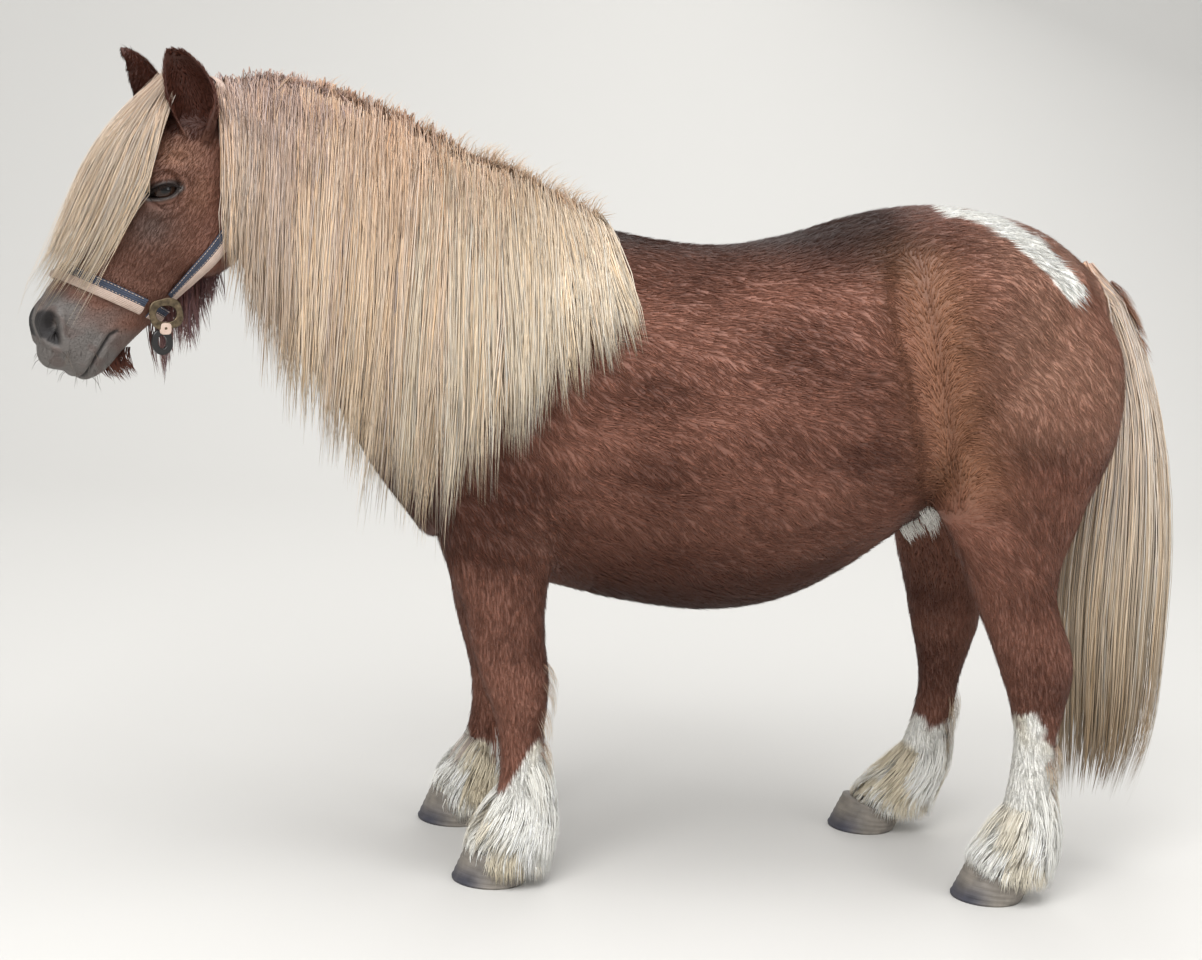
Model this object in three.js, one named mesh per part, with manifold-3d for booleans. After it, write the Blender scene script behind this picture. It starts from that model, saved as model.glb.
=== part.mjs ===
// A Shetland pony in a thick coat, life size, standing still on level ground with its head turned a little
// to its near (left) side. It is stocky: a deep round barrel, a heavy crest, short legs with feathered feet,
// a long mane, forelock and tail, and a webbing halter on its head.
// Units are millimetres. +Z is up, -X is the way the pony faces and -Y is its near side. The origin is on
// the ground, below the middle of the pony's box.
import * as THREE from "three";
import { mergeVertices } from "three/addons/utils/BufferGeometryUtils.js";
import Module from "manifold-3d";

const wasm = await Module();
wasm.setup();

// Driving dimensions. Every table below is drawn for a pony of DRAWN_HEIGHT at the withers.
const WITHERS_HEIGHT = 950;
const DRAWN_HEIGHT = 950;
const GAP = 0.35; // kept between two nodes that touch
const HEAD_TURN = 25; // degrees that the head is turned to the near side
const HEAD_PIVOT = new THREE.Vector3(-775, 0, 1100); // the poll joint, where it turns
const HEAD_SHIFT = -14; // how far the poll lies to the near side
const KNEE_Z = 262; // the legs are parted here into upper and lower nodes
const HOCK_Z = 300;
const BOX_MIDDLE = new THREE.Vector3(-175, 0, 0); // of the drawn pony, brought to the origin

// Numbers that vary along a row of stations

// Cubic blend through the rows of a table, by the distance between them in columns 0 and 1.
function alongTable(table) {
  const at = [0];
  for (let i = 1; i < table.length; i++)
    at.push(at[i - 1] + Math.hypot(table[i][0] - table[i - 1][0], table[i][1] - table[i - 1][1]));
  const slope = (i, k) => (table[i + 1][k] - table[i][k]) / (at[i + 1] - at[i]);
  const tangent = (i, k) => {
    if (i === 0) return slope(0, k);
    if (i === table.length - 1) return slope(i - 1, k);
    const before = at[i] - at[i - 1];
    const after = at[i + 1] - at[i];
    return (slope(i - 1, k) * after + slope(i, k) * before) / (before + after);
  };
  return (share) => {
    const s = share * at[at.length - 1];
    let i = 0;
    while (i < table.length - 2 && s > at[i + 1]) i++;
    const h = at[i + 1] - at[i];
    const p = Math.min(1, Math.max(0, (s - at[i]) / h));
    const fall = (2 * p - 3) * p * p;
    return table[i].map((value, k) => {
      const leave = ((p - 2) * p + 1) * p * h * tangent(i, k);
      const reach = (p - 1) * p * p * h * tangent(i + 1, k);
      return value * (fall + 1) - table[i + 1][k] * fall + leave + reach;
    });
  };
}

// Value at x in a list of [x, value] pairs, joined by straight lines.
function lineAt(pairs, x) {
  if (x <= pairs[0][0]) return pairs[0][1];
  for (let i = 1; i < pairs.length; i++)
    if (x <= pairs[i][0]) {
      const [x0, v0] = pairs[i - 1];
      const [x1, v1] = pairs[i];
      return v0 + ((v1 - v0) * (x - x0)) / (x1 - x0);
    }
  return pairs[pairs.length - 1][1];
}

// A seeded draw between 0 and 1.
function seeded(seed) {
  let state = seed;
  return () => {
    state = (state * 1664525 + 1013904223) % 4294967296;
    return state / 4294967296;
  };
}

const vec = (x, y, z) => new THREE.Vector3(x, y, z);
const moved = (point, way, by) => point.clone().addScaledVector(way, by);

// Closed surfaces and solids

function surfaceOf(points, triangles) {
  const geometry = new THREE.BufferGeometry();
  const places = points.flatMap((p) => [p.x, p.y, p.z]);
  geometry.setAttribute("position", new THREE.Float32BufferAttribute(places, 3));
  geometry.setIndex(triangles);
  return geometry;
}

// Joins rings of points, each with the same count, and closes both ends on a point.
function skinRings(rings, first, last) {
  const sides = rings[0].length;
  const points = [...rings.flat(), first, last];
  const triangles = [];
  for (let r = 0; r + 1 < rings.length; r++)
    for (let s = 0; s < sides; s++) {
      const a = r * sides + s;
      const b = r * sides + ((s + 1) % sides);
      triangles.push(a, b, b + sides, a, b + sides, a + sides);
    }
  const start = rings.length * sides;
  for (let s = 0; s < sides; s++) {
    triangles.push(start, (s + 1) % sides, s);
    triangles.push(start + 1, start - sides + s, start - sides + ((s + 1) % sides));
  }
  return surfaceOf(points, triangles);
}

// Drops faces without area and pairs folded flat on each other, and closes to a point each edge where more
// than two faces meet, until none is left. Takes and gives corner numbers, three to a face.
function cleanFaces(corners) {
  const faces = new Map();
  const uses = new Map();
  for (let i = 0; i < corners.length; i += 3) {
    const face = corners.slice(i, i + 3);
    if (new Set(face).size < 3) continue;
    const key = face.slice().sort((a, b) => a - b).join();
    if (!faces.delete(key)) faces.set(key, face);
  }
  for (const face of faces.values())
    face.forEach((a, k) => {
      const b = face[(k + 1) % 3];
      const edge = Math.min(a, b) + "," + Math.max(a, b);
      uses.set(edge, (uses.get(edge) || 0) + 1);
    });
  const kept = [...faces.values()].flat();
  const crowded = [...uses].find(([, count]) => count > 2);
  if (!crowded) return kept;
  const [keep, lose] = crowded[0].split(",").map(Number);
  return cleanFaces(kept.map((corner) => (corner === lose ? keep : corner)));
}

function solidOf(geometry, weld = 1e-3) {
  const plain = geometry.clone();
  plain.deleteAttribute("normal");
  plain.deleteAttribute("uv");
  const merged = mergeVertices(plain, weld);
  const corners = cleanFaces([...merged.index.array]);
  const make = (triangles) => {
    const vertProperties = merged.attributes.position.array;
    const triVerts = new Uint32Array(triangles);
    return new wasm.Manifold(new wasm.Mesh({ numProp: 3, vertProperties, triVerts }));
  };
  const solid = make(corners);
  if (solid.volume() > 0) return solid;
  const inward = corners.slice();
  for (let i = 0; i < inward.length; i += 3) {
    inward[i + 1] = corners[i + 2];
    inward[i + 2] = corners[i + 1];
  }
  return make(inward);
}

function joined(solids) {
  let all = solids;
  while (all.length > 1) {
    const pairs = [];
    for (let i = 0; i < all.length; i += 2)
      pairs.push(i + 1 < all.length ? all[i].add(all[i + 1]) : all[i]);
    all = pairs;
  }
  return all[0];
}

// The largest closed body of a solid.
function largest(solid) {
  return solid.decompose().reduce((best, piece) => (piece.volume() > best.volume() ? piece : best));
}

function geometryOf(solid) {
  const mesh = solid.getMesh();
  const flat = new Float32Array(mesh.numVert * 3);
  for (let i = 0; i < mesh.numVert; i++)
    flat.set(mesh.vertProperties.subarray(i * mesh.numProp, i * mesh.numProp + 3), i * 3);
  const geometry = new THREE.BufferGeometry();
  geometry.setAttribute("position", new THREE.BufferAttribute(flat, 3));
  geometry.setIndex(new THREE.BufferAttribute(mesh.triVerts, 1));
  return geometry;
}

// One body with the slivers that cuts leave closed up. A weld that would pinch the surface is left out.
const WELDS = [0.02, 0.013, 0.007];
function welded(solid) {
  let kept = largest(solid);
  for (const weld of WELDS)
    try {
      kept = largest(solidOf(geometryOf(kept), weld));
    } catch (pinched) {
      continue;
    }
  return kept;
}

const placed = (solid, matrix) => solidOf(geometryOf(solid).applyMatrix4(matrix));

// Everything on one side of a plane that stands on the line between two points of the XZ plane. `ahead`
// keeps the side towards the head, and `gap` draws the kept side back from the line.
const FAR_AWAY = 3000;
function halfSpace({ x0, z0, x1, z1 }, ahead, gap) {
  const way = new THREE.Vector2(x1 - x0, z1 - z0).normalize();
  const across = new THREE.Vector2(way.y, -way.x).multiplyScalar(ahead ? 1 : -1);
  const geometry = new THREE.BoxGeometry(FAR_AWAY, FAR_AWAY, FAR_AWAY);
  geometry.rotateY(-Math.atan2(way.y, way.x));
  const by = FAR_AWAY / 2 + gap;
  geometry.translate((x0 + x1) / 2 + across.x * by, 0, (z0 + z1) / 2 + across.y * by);
  return solidOf(geometry);
}

// Everything above or below a level, less a gap.
function above(z, gap) {
  const geometry = new THREE.BoxGeometry(FAR_AWAY, FAR_AWAY, FAR_AWAY);
  return solidOf(geometry.translate(0, 0, z + FAR_AWAY / 2 + gap));
}
function below(z, gap) {
  const geometry = new THREE.BoxGeometry(FAR_AWAY, FAR_AWAY, FAR_AWAY);
  return solidOf(geometry.translate(0, 0, z - FAR_AWAY / 2 - gap));
}

// Flesh. Each row of a table is one cross-section: x and z of its upper or front point, x and z of its lower
// or back point, half its width, its middle's y, how far the widest place sits towards the lower point, and
// how square it is (2 is an ellipse).
const CAP_RINGS = 2;
function flesh(table, { rings, sides, capStart, capEnd, grow = 0 }) {
  const middles = table.map((row) => [(row[0] + row[2]) / 2, (row[1] + row[3]) / 2, ...row]);
  const rowAt = alongTable(middles);
  const middleAt = (share) => {
    const [, , x0, z0, x1, z1, , y] = rowAt(share);
    return vec((x0 + x1) / 2, y, (z0 + z1) / 2);
  };
  const section = (share, scale) => {
    const [, , x0, z0, x1, z1, halfWidth, , low, square] = rowAt(share);
    const up = vec(x0 - x1, 0, z0 - z1).normalize();
    const reach = (Math.hypot(x0 - x1, z0 - z1) / 2 + grow) * scale;
    const points = [];
    for (let s = 0; s < sides; s++) {
      const angle = (2 * Math.PI * s) / sides;
      const rise = Math.sign(Math.cos(angle)) * Math.abs(Math.cos(angle)) ** (2 / square);
      const side = Math.sign(Math.sin(angle)) * Math.abs(Math.sin(angle)) ** (2 / square);
      const point = moved(middleAt(share), up, reach * (rise - low * (1 - rise * rise)));
      point.y += side * (halfWidth + grow) * scale;
      points.push(point);
    }
    return points;
  };
  const wayOut = (end) => middleAt(end).sub(middleAt(end === 0 ? 0.02 : 0.98)).normalize();
  const capRing = (end, depth, step) => {
    const turn = ((Math.PI / 2) * step) / CAP_RINGS;
    return section(end, Math.cos(turn)).map((p) => moved(p, wayOut(end), (depth + grow) * Math.sin(turn)));
  };
  const all = [];
  for (let k = CAP_RINGS - 1; k > 0; k--) all.push(capRing(0, capStart, k));
  for (let r = 0; r <= rings; r++) all.push(section(r / rings, 1));
  for (let k = 1; k < CAP_RINGS; k++) all.push(capRing(1, capEnd, k));
  const first = moved(middleAt(0), wayOut(0), capStart + grow);
  const last = moved(middleAt(1), wayOut(1), capEnd + grow);
  return solidOf(skinRings(all, first, last));
}

// An ellipsoid. `tilt` is how many degrees its X half size is turned up from +X.
function bulge([x, y, z], [rx, ry, rz], { tilt = 0, grow = 0, sides = 8 } = {}) {
  const geometry = new THREE.SphereGeometry(1, sides, Math.round(sides * 0.7));
  geometry.rotateX(Math.PI / 2);
  geometry.scale(rx + grow, ry + grow, rz + grow);
  geometry.rotateY(-THREE.MathUtils.degToRad(tilt));
  geometry.translate(x, y, z);
  return solidOf(geometry);
}

// Ray tests against a solid, used to lay hair and straps on it.
function target(solid) {
  const bothSides = new THREE.MeshBasicMaterial({ side: THREE.DoubleSide });
  const mesh = new THREE.Mesh(geometryOf(solid), bothSides);
  const ray = new THREE.Raycaster();
  return (origin, way) => {
    ray.set(origin, way.clone().normalize());
    const hit = ray.intersectObject(mesh)[0];
    return hit ? hit.point : null;
  };
}

// A flat, tapered lock of hair along a curve, its width lying along `hint` where it can.
const LOCK_WIDE = [[0, 0.7], [0.3, 1], [0.7, 0.8], [1, 0.25]];
const LOCK_THICK = [[0, 0.9], [0.4, 1], [1, 0.45]];
const LOCK_START = 2; // how far the point at the root stands behind the first ring
function lock(path, hint, width, thickness, segments) {
  const curve = new THREE.CatmullRomCurve3(path, false, "centripetal");
  const rings = [];
  for (let i = 0; i < segments; i++) {
    const t = i / segments;
    const at = curve.getPoint(t);
    const way = curve.getTangent(t);
    const side = moved(hint, way, -hint.dot(way)).normalize();
    const face = vec(0, 0, 0).crossVectors(side, way).normalize();
    const wide = (width / 2) * lineAt(LOCK_WIDE, t);
    const thick = (thickness / 2) * lineAt(LOCK_THICK, t);
    const ring = [moved(at, side, wide), moved(at, face, thick)];
    ring.push(moved(at, side, -wide), moved(at, face, -thick));
    rings.push(ring);
  }
  const root = moved(curve.getPoint(0), curve.getTangent(0), -LOCK_START);
  return solidOf(skinRings(rings, root, curve.getPoint(1)));
}

// Trunk: the barrel, breast and rump. Columns are those of flesh().
const TORSO = [
  [-530, 735, -530, 612, 62, 0, 0, 2],
  [-500, 815, -500, 548, 112, 0, 0.05, 2.1],
  [-440, 895, -440, 486, 158, 0, 0.08, 2.2],
  [-360, 944, -360, 440, 192, 0, 0.1, 2.2],
  [-260, 947, -260, 412, 210, 0, 0.12, 2.15],
  [-160, 934, -160, 396, 230, 0, 0.12, 2.1],
  [-50, 930, -50, 388, 247, 0, 0.1, 2.1],
  [60, 955, 60, 408, 253, 0, 0.06, 2.15],
  [150, 988, 150, 455, 246, 0, 0, 2.2],
  [250, 1008, 250, 530, 234, 0, -0.06, 2.25],
  [350, 1003, 350, 590, 218, 0, -0.08, 2.25],
  [440, 975, 440, 630, 178, 0, -0.05, 2.2],
  [500, 935, 500, 690, 118, 0, 0, 2.1],
];
// Thigh and buttock of the near side, from the hip down to the stifle.
const THIGH = [
  [330, 900, 480, 905, 60, -110, 0, 2.1],
  [285, 820, 524, 830, 88, -122, 0, 2.2],
  [258, 740, 535, 745, 98, -132, 0, 2.25],
  [246, 660, 522, 668, 94, -138, 0.05, 2.25],
  [256, 595, 497, 603, 82, -140, 0.05, 2.2],
  [290, 535, 478, 540, 64, -142, 0.05, 2.1],
];
// Shoulder and upper arm of the near side.
const SHOULDER = [
  [-360, 850, -245, 850, 50, -118, 0, 2.1],
  [-430, 740, -240, 730, 68, -132, 0, 2.1],
  [-468, 640, -245, 630, 74, -138, 0, 2.2],
  [-462, 560, -258, 548, 72, -137, 0, 2.2],
  [-446, 495, -272, 488, 63, -136, 0, 2.1],
];
// Neck, from the withers and breast up to the poll.
const NECK = [
  [-215, 940, -455, 470, 178, 0, 0.16, 2.1],
  [-300, 966, -535, 565, 160, 0, 0.16, 2.1],
  [-410, 1016, -590, 650, 134, -2, 0.16, 2.05],
  [-520, 1060, -640, 715, 112, -5, 0.15, 2.05],
  [-630, 1092, -690, 775, 96, -9, 0.12, 2.05],
  [-715, 1104, -728, 835, 84, -12, 0.08, 2.05],
  [-788, 1098, -757, 885, 72, -14, 0, 2.05],
];
// Foreleg of the near side: forearm, knee, cannon, fetlock and pastern.
const FORELEG = [
  [-452, 560, -262, 550, 56, -134, 0, 2.1],
  [-442, 490, -274, 485, 58, -136, 0, 2.1],
  [-431, 445, -282, 442, 54, -138, 0, 2.1],
  [-410, 400, -284, 398, 49, -139, 0, 2.1],
  [-396, 346, -279, 346, 43, -139, 0, 2.2],
  [-382, 306, -272, 306, 41, -139, 0, 2.3],
  [-364, 265, -271, 265, 38, -139, 0, 2.3],
  [-352, 232, -273, 230, 32, -139, 0, 2.2],
  [-345, 196, -270, 190, 30, -139, 0, 2.1],
  [-343, 150, -266, 140, 31, -139, 0, 2.1],
  [-352, 116, -260, 100, 37, -139, 0, 2.1],
  [-366, 86, -268, 64, 41, -139, 0, 2.1],
  [-376, 58, -283, 34, 44, -139, 0, 2.1],
];
// Hind leg of the near side: gaskin, hock, cannon, fetlock and pastern.
const HINDLEG = [
  [262, 600, 490, 610, 72, -142, 0, 2.1],
  [290, 535, 476, 545, 64, -145, 0, 2.1],
  [318, 478, 462, 485, 54, -148, 0, 2.1],
  [341, 430, 468, 436, 46, -151, 0, 2.1],
  [362, 385, 490, 390, 41, -154, 0, 2.1],
  [381, 342, 500, 344, 39, -156, 0, 2.2],
  [398, 300, 493, 300, 35, -158, 0, 2.2],
  [411, 250, 486, 250, 31, -159, 0, 2.1],
  [411, 190, 484, 186, 30, -160, 0, 2.1],
  [406, 145, 486, 134, 32, -160, 0, 2.1],
  [395, 112, 490, 96, 37, -160, 0, 2.1],
  [380, 84, 480, 62, 41, -160, 0, 2.1],
  [367, 58, 464, 34, 44, -160, 0, 2.1],
];
// How far a far leg stands from where the near one does, at each height.
const NO_STEP = [[0, 0]];
const FAR_FORE_STEP = [[0, -36], [120, -30], [300, -8], [520, 0]];
const FAR_HIND_STEP = [[0, -112], [60, -96], [120, -72], [200, -60], [330, -52], [460, -30], [620, 0]];

// Skull of the head looking straight ahead: the profile first and the jaw line after it.
const SKULL = [
  [-800, 1112, -722, 1005, 58, 0, 0, 2.1],
  [-850, 1085, -740, 950, 72, 0, 0, 2.2],
  [-898, 1034, -756, 903, 80, 0, -0.05, 2.3],
  [-935, 975, -784, 862, 82, 0, -0.08, 2.3],
  [-962, 920, -818, 820, 70, 0, -0.05, 2.3],
  [-984, 874, -852, 785, 58, 0, 0, 2.3],
  [-1006, 836, -886, 755, 50, 0, 0, 2.3],
  [-1030, 800, -912, 728, 47, 0, 0, 2.3],
  [-1042, 770, -932, 706, 48, 0, 0.05, 2.35],
  [-1030, 742, -950, 694, 43, 0, 0.05, 2.3],
];
const EYE = { x: -886, y: 60, z: 958, radius: 19.5 };
const EYE_SLIT = { half: 19, depth: 20, tall: 11, slope: 11 }; // half sizes of the opening, and its slope
const LID = 3.4; // thickness of the lids over the eyeball
const EYE_SIDES = 10;
const AXIS_TILT = 60; // degrees that the head slopes below level

const TORSO_SHAPE = { rings: 13, sides: 22, capStart: 26, capEnd: 40 };
const THIGH_SHAPE = { rings: 5, sides: 12, capStart: 50, capEnd: 30 };
const SHOULDER_SHAPE = { rings: 4, sides: 12, capStart: 50, capEnd: 30 };
const NECK_SHAPE = { rings: 7, sides: 18, capStart: 20, capEnd: 20 };
const LEG_SHAPE = { rings: 10, sides: 10, capStart: 20, capEnd: 12 };
const SKULL_SHAPE = { rings: 10, sides: 16, capStart: 20, capEnd: 20 };

// Brings a table of the near side to the far side, with each foot's own step.
function onFarSide(table, step) {
  return table.map(([x0, z0, x1, z1, half, y, low, square]) => [
    x0 + lineAt(step, z0),
    z0,
    x1 + lineAt(step, z1),
    z1,
    half,
    -y,
    low,
    square,
  ]);
}

function trunk(grow) {
  return joined([
    flesh(TORSO, { ...TORSO_SHAPE, grow }),
    flesh(THIGH, { ...THIGH_SHAPE, grow }),
    flesh(onFarSide(THIGH, NO_STEP), { ...THIGH_SHAPE, grow }),
    flesh(SHOULDER, { ...SHOULDER_SHAPE, grow }),
    flesh(onFarSide(SHOULDER, NO_STEP), { ...SHOULDER_SHAPE, grow }),
    flesh(NECK, { ...NECK_SHAPE, grow }),
  ]);
}

function eyeball(side, radius, grow) {
  return bulge([EYE.x, side * EYE.y, EYE.z], [radius, radius, radius], { grow, sides: EYE_SIDES });
}

// The head before it is turned: skull, jaw muscles, brows, lids, nostril wings, cheeks, lips and chin.
function headFlesh(grow) {
  const parts = [flesh(SKULL, { ...SKULL_SHAPE, grow })];
  for (const side of [-1, 1]) {
    parts.push(bulge([-806, side * 44, 900], [70, 38, 54], { tilt: AXIS_TILT, grow }));
    parts.push(bulge([-892, side * 54, 985], [34, 22, 14], { tilt: 20, grow }));
    parts.push(eyeball(side, EYE.radius + LID, grow));
    parts.push(bulge([-1016, side * 31, 768], [32, 19, 19], { tilt: AXIS_TILT + 10, grow }));
    parts.push(bulge([-938, side * 26, 880], [62, 22, 22], { tilt: AXIS_TILT, grow }));
  }
  parts.push(bulge([-1002, 0, 732], [34, 42, 29], { tilt: 50, grow }));
  parts.push(bulge([-952, 0, 716], [26, 34, 22], { tilt: 50, grow }));
  return joined(parts);
}

const headMatrix = new THREE.Matrix4()
  .makeTranslation(HEAD_PIVOT.x, HEAD_SHIFT, HEAD_PIVOT.z)
  .multiply(new THREE.Matrix4().makeRotationZ(THREE.MathUtils.degToRad(HEAD_TURN)))
  .multiply(new THREE.Matrix4().makeTranslation(-HEAD_PIVOT.x, 0, -HEAD_PIVOT.z));
const turned = (solid) => placed(solid, headMatrix);

const bodies = new Map(); // node name to solid
const looks = new Map(); // node name to material
function node(name, solid, material) {
  bodies.set(name, solid);
  looks.set(name, material);
}
const material = (color, roughness, metalness = 0) =>
  new THREE.MeshStandardMaterial({ color, roughness, metalness });
const chestnut = material(0x70402a, 0.75);
const flaxen = material(0xc9a67c, 0.7);
const whiteHair = material(0xe4dccb, 0.8);
const horn = material(0x6f665c, 0.6);
const eyeDark = material(0x120a07, 0.08);
const webbing = material(0xd9b199, 0.85);
const steel = material(0x4a463f, 0.4, 0.9);

// Torso, and the bare neck and head. Two flat cuts part them, at the base of the neck and behind the jaw.
const NECK_BASE = { x0: -190, z0: 1010, x1: -620, z1: 450 };
const THROAT_CUT = { x0: -712, z0: 1220, x1: -752, z1: 740 };
const bodyFlesh = trunk(0);
const bodyClear = trunk(GAP);
const headSolid = turned(headFlesh(0));
const headClear = turned(headFlesh(GAP));
const torso = largest(bodyFlesh.intersect(halfSpace(NECK_BASE, false, 0)));
const torsoClear = bodyClear.intersect(halfSpace(NECK_BASE, false, -GAP));
const beforeBase = bodyFlesh.intersect(halfSpace(NECK_BASE, true, GAP));
const neckFlesh = beforeBase.intersect(halfSpace(THROAT_CUT, false, GAP));
const neckCore = largest(neckFlesh.subtract(headClear));
const pollFlesh = bodyFlesh.intersect(halfSpace(THROAT_CUT, true, 0));
const headCore = largest(joined([headSolid, pollFlesh]));
const headCoreClear = joined([headClear, bodyClear.intersect(halfSpace(THROAT_CUT, true, -GAP))]);
node("torso", torso, chestnut);

// Legs: each is parted at the knee or hock, and hangs below the trunk.

// A hoof: a slanted horn box on a flat sole, wider at the ground than at the coronet.
const HOOF_HEIGHT = 52;
const CORONET_DROP = 24; // from the front of the coronet to the heel
const HOOF_SIDES = 14;
const HOOF_ROWS = 3;
const FORE_HOOF = { toe: -398, heel: -290, topToe: -378, topHeel: -282, half: 51, topHalf: 46, y: -139 };
const HIND_HOOF = { toe: 343, heel: 449, topToe: 365, topHeel: 463, half: 50, topHalf: 45, y: -160 };
function hoof(shape, step, far, grow) {
  const shift = lineAt(step, 0);
  const y = far ? -shape.y : shape.y;
  const rings = [];
  for (let r = 0; r <= HOOF_ROWS; r++) {
    const rise = r / HOOF_ROWS;
    const toe = THREE.MathUtils.lerp(shape.toe, shape.topToe, rise) + shift;
    const heel = THREE.MathUtils.lerp(shape.heel, shape.topHeel, rise) + shift;
    const half = THREE.MathUtils.lerp(shape.half, shape.topHalf, rise) + grow;
    const ring = [];
    for (let s = 0; s < HOOF_SIDES; s++) {
      const angle = (2 * Math.PI * s) / HOOF_SIDES;
      const x = (toe + heel) / 2 + ((heel - toe) / 2 + grow) * Math.cos(angle);
      const drop = (CORONET_DROP / 2) * rise * (1 + Math.cos(angle));
      const z = rise * HOOF_HEIGHT - drop + (r === 0 ? -grow : grow);
      ring.push(vec(x, y + half * Math.sin(angle), z));
    }
    rings.push(ring);
  }
  const sole = vec((shape.toe + shape.heel) / 2 + shift, y, -grow);
  const middle = (shape.topToe + shape.topHeel) / 2 + shift;
  const top = vec(middle, y, HOOF_HEIGHT - CORONET_DROP / 2 + grow);
  return solidOf(skinRings(rings, sole, top));
}

// Feather: locks on the back and sides of the fetlock, hanging over the heel. FEATHER_OFF says how far a
// lock stands off the limb along its length.
const FEATHER = { count: 4, spread: 115, width: 36, thickness: 10, high: 120, low: 14 };
const FEATHER_OFF = [[-0.06, -9], [0.08, 3], [0.4, 9], [0.7, 13]];
const FEATHER_TIP = 12;
const LOWEST_CAST = 40; // the limb's rows give no sure hit below this
function feather(limb, table, seed) {
  const draw = seeded(seed);
  const onLimb = target(limb);
  const rowsUp = table.map((row) => [(row[1] + row[3]) / 2, (row[0] + row[2]) / 2]).reverse();
  const y = table[table.length - 1][5];
  const locks = [];
  for (let i = 0; i < FEATHER.count; i++) {
    const degrees = FEATHER.spread * ((2 * i) / (FEATHER.count - 1) - 1) + 8 * (draw() - 0.5);
    const around = THREE.MathUtils.degToRad(degrees);
    const out = vec(Math.cos(around), Math.sin(around), 0);
    const z0 = FEATHER.high + 30 * draw() - 14 * Math.abs(around);
    const drop = z0 - FEATHER.low - 22 * draw();
    const path = [];
    for (const [share, off] of [...FEATHER_OFF, [1, FEATHER_TIP + 6 * draw()]]) {
      const z = z0 - share * drop;
      const axis = vec(lineAt(rowsUp, Math.max(z, HOOF_HEIGHT)), y, z);
      const from = moved(axis, out, 300);
      const hit = onLimb(vec(from.x, from.y, Math.max(z, LOWEST_CAST)), out.clone().negate());
      const reach = hit ? Math.hypot(hit.x - axis.x, hit.y - axis.y) : LOWEST_CAST;
      path.push(moved(axis, out, reach + off));
    }
    const width = FEATHER.width + 8 * draw();
    locks.push(lock(path, vec(-out.y, out.x, 0), width, FEATHER.thickness, 3));
  }
  return joined(locks);
}

const LIMBS = [
  { fore: true, side: "left", step: NO_STEP },
  { fore: true, side: "right", step: FAR_FORE_STEP },
  { fore: false, side: "left", step: NO_STEP },
  { fore: false, side: "right", step: FAR_HIND_STEP },
];
const SOLE_CLEAR = 2; // the shin ends this high, inside the hoof
LIMBS.forEach(({ fore, side, step }, i) => {
  const far = side === "right";
  const near = fore ? FORELEG : HINDLEG;
  const table = far ? onFarSide(near, step) : near;
  const cut = fore ? KNEE_Z : HOCK_Z;
  const shape = fore ? FORE_HOOF : HIND_HOOF;
  const whole = flesh(table, LEG_SHAPE);
  const limb = whole.subtract(bodyClear);
  node((fore ? "forearm_" : "gaskin_") + side, limb.intersect(above(cut, 0)), chestnut);
  const shin = limb.intersect(below(cut, GAP)).intersect(above(SOLE_CLEAR, 0));
  const haired = joined([shin, feather(whole, table, 11 + i)]);
  const hoofClear = hoof(shape, step, far, GAP);
  node((fore ? "foreleg_" : "hindleg_") + side, haired.subtract(hoofClear), whiteHair);
  node((fore ? "hoof_fore_" : "hoof_hind_") + side, hoof(shape, step, far, 0), horn);
});

// Mane: locks rooted along the crest, most of them falling on the near side, over a thin core. They rise a
// little, bend over, and hang straight down past the breast.
const onBody = target(joined([bodyFlesh, headSolid]));
const crestY = (x) => (x < -600 ? -10 : 0);
const crestZ = (x) => onBody(vec(x, crestY(x), 1500), vec(0, 0, -1)).z;
const MANE_FRONT = -756;
const MANE_BACK = -236;
const MANE_TIPS = [
  [-756, 870], [-738, 831], [-693, 737], [-649, 684], [-585, 632], [-504, 552],
  [-457, 518], [-408, 585], [-343, 659], [-291, 733], [-239, 785], [-201, 850],
];
const MANE_ROOT = { depth: 24, rise: 12 }; // below the crest, and how far the first bend stands above it
const MANE_DROPS = [0.06, 0.2, 0.45, 0.75, 1];
const MANE_SWEEP = [[-420, 4], [-330, 24], [-240, 50]]; // how far the tips lie behind the roots
const MANE_LAYERS = [
  { side: -1, count: 6, width: 84, lift: 9, share: 0.8, seed: 131 },
  { side: -1, count: 11, width: 60, lift: 21, share: 1, seed: 222 },
  { side: 1, count: 6, width: 82, lift: 9, share: 0.5, seed: 303 },
];
const MANE_THICKNESS = 12;
const MANE_BENDS = 5;
function maneLock(rootX, { side, width, lift, share }, draw) {
  const top = crestZ(rootX);
  const length = (top - lineAt(MANE_TIPS, rootX)) * share * (0.9 + 0.14 * draw());
  const wave = 7 * (draw() - 0.5);
  const bend = top + MANE_ROOT.rise + lift * 0.6;
  const y = crestY(rootX);
  const path = [vec(rootX, y, top - MANE_ROOT.depth), vec(rootX, y + side * 5, bend)];
  let reach = 4;
  for (const drop of MANE_DROPS) {
    const z = bend - (length + bend - top) * drop;
    const x = rootX + lineAt(MANE_SWEEP, rootX) * drop + wave * Math.sin(5 * drop);
    const hit = z < top ? onBody(vec(x, side * 900, z), vec(0, -side, 0)) : null;
    const wanted = hit ? Math.abs(hit.y) + lift : 0;
    reach = Math.max(wanted, reach - 4, 34 * Math.min(1, 6 * drop));
    path.push(vec(x, side * reach, z));
  }
  const hint = vec(1, 0.25 * (draw() - 0.5), 0);
  return lock(path, hint, width * (0.85 + 0.3 * draw()), MANE_THICKNESS, MANE_BENDS);
}
function mane() {
  const locks = [];
  for (const layer of MANE_LAYERS) {
    const draw = seeded(layer.seed);
    for (let i = 0; i < layer.count; i++) {
      const at = (i + 0.5 + 0.4 * (draw() - 0.5)) / layer.count;
      locks.push(maneLock(THREE.MathUtils.lerp(MANE_FRONT, MANE_BACK, at), layer, draw));
    }
  }
  return joined(locks);
}
const neckHaired = joined([neckCore, mane()]).subtract(torsoClear).subtract(headCoreClear);

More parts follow.
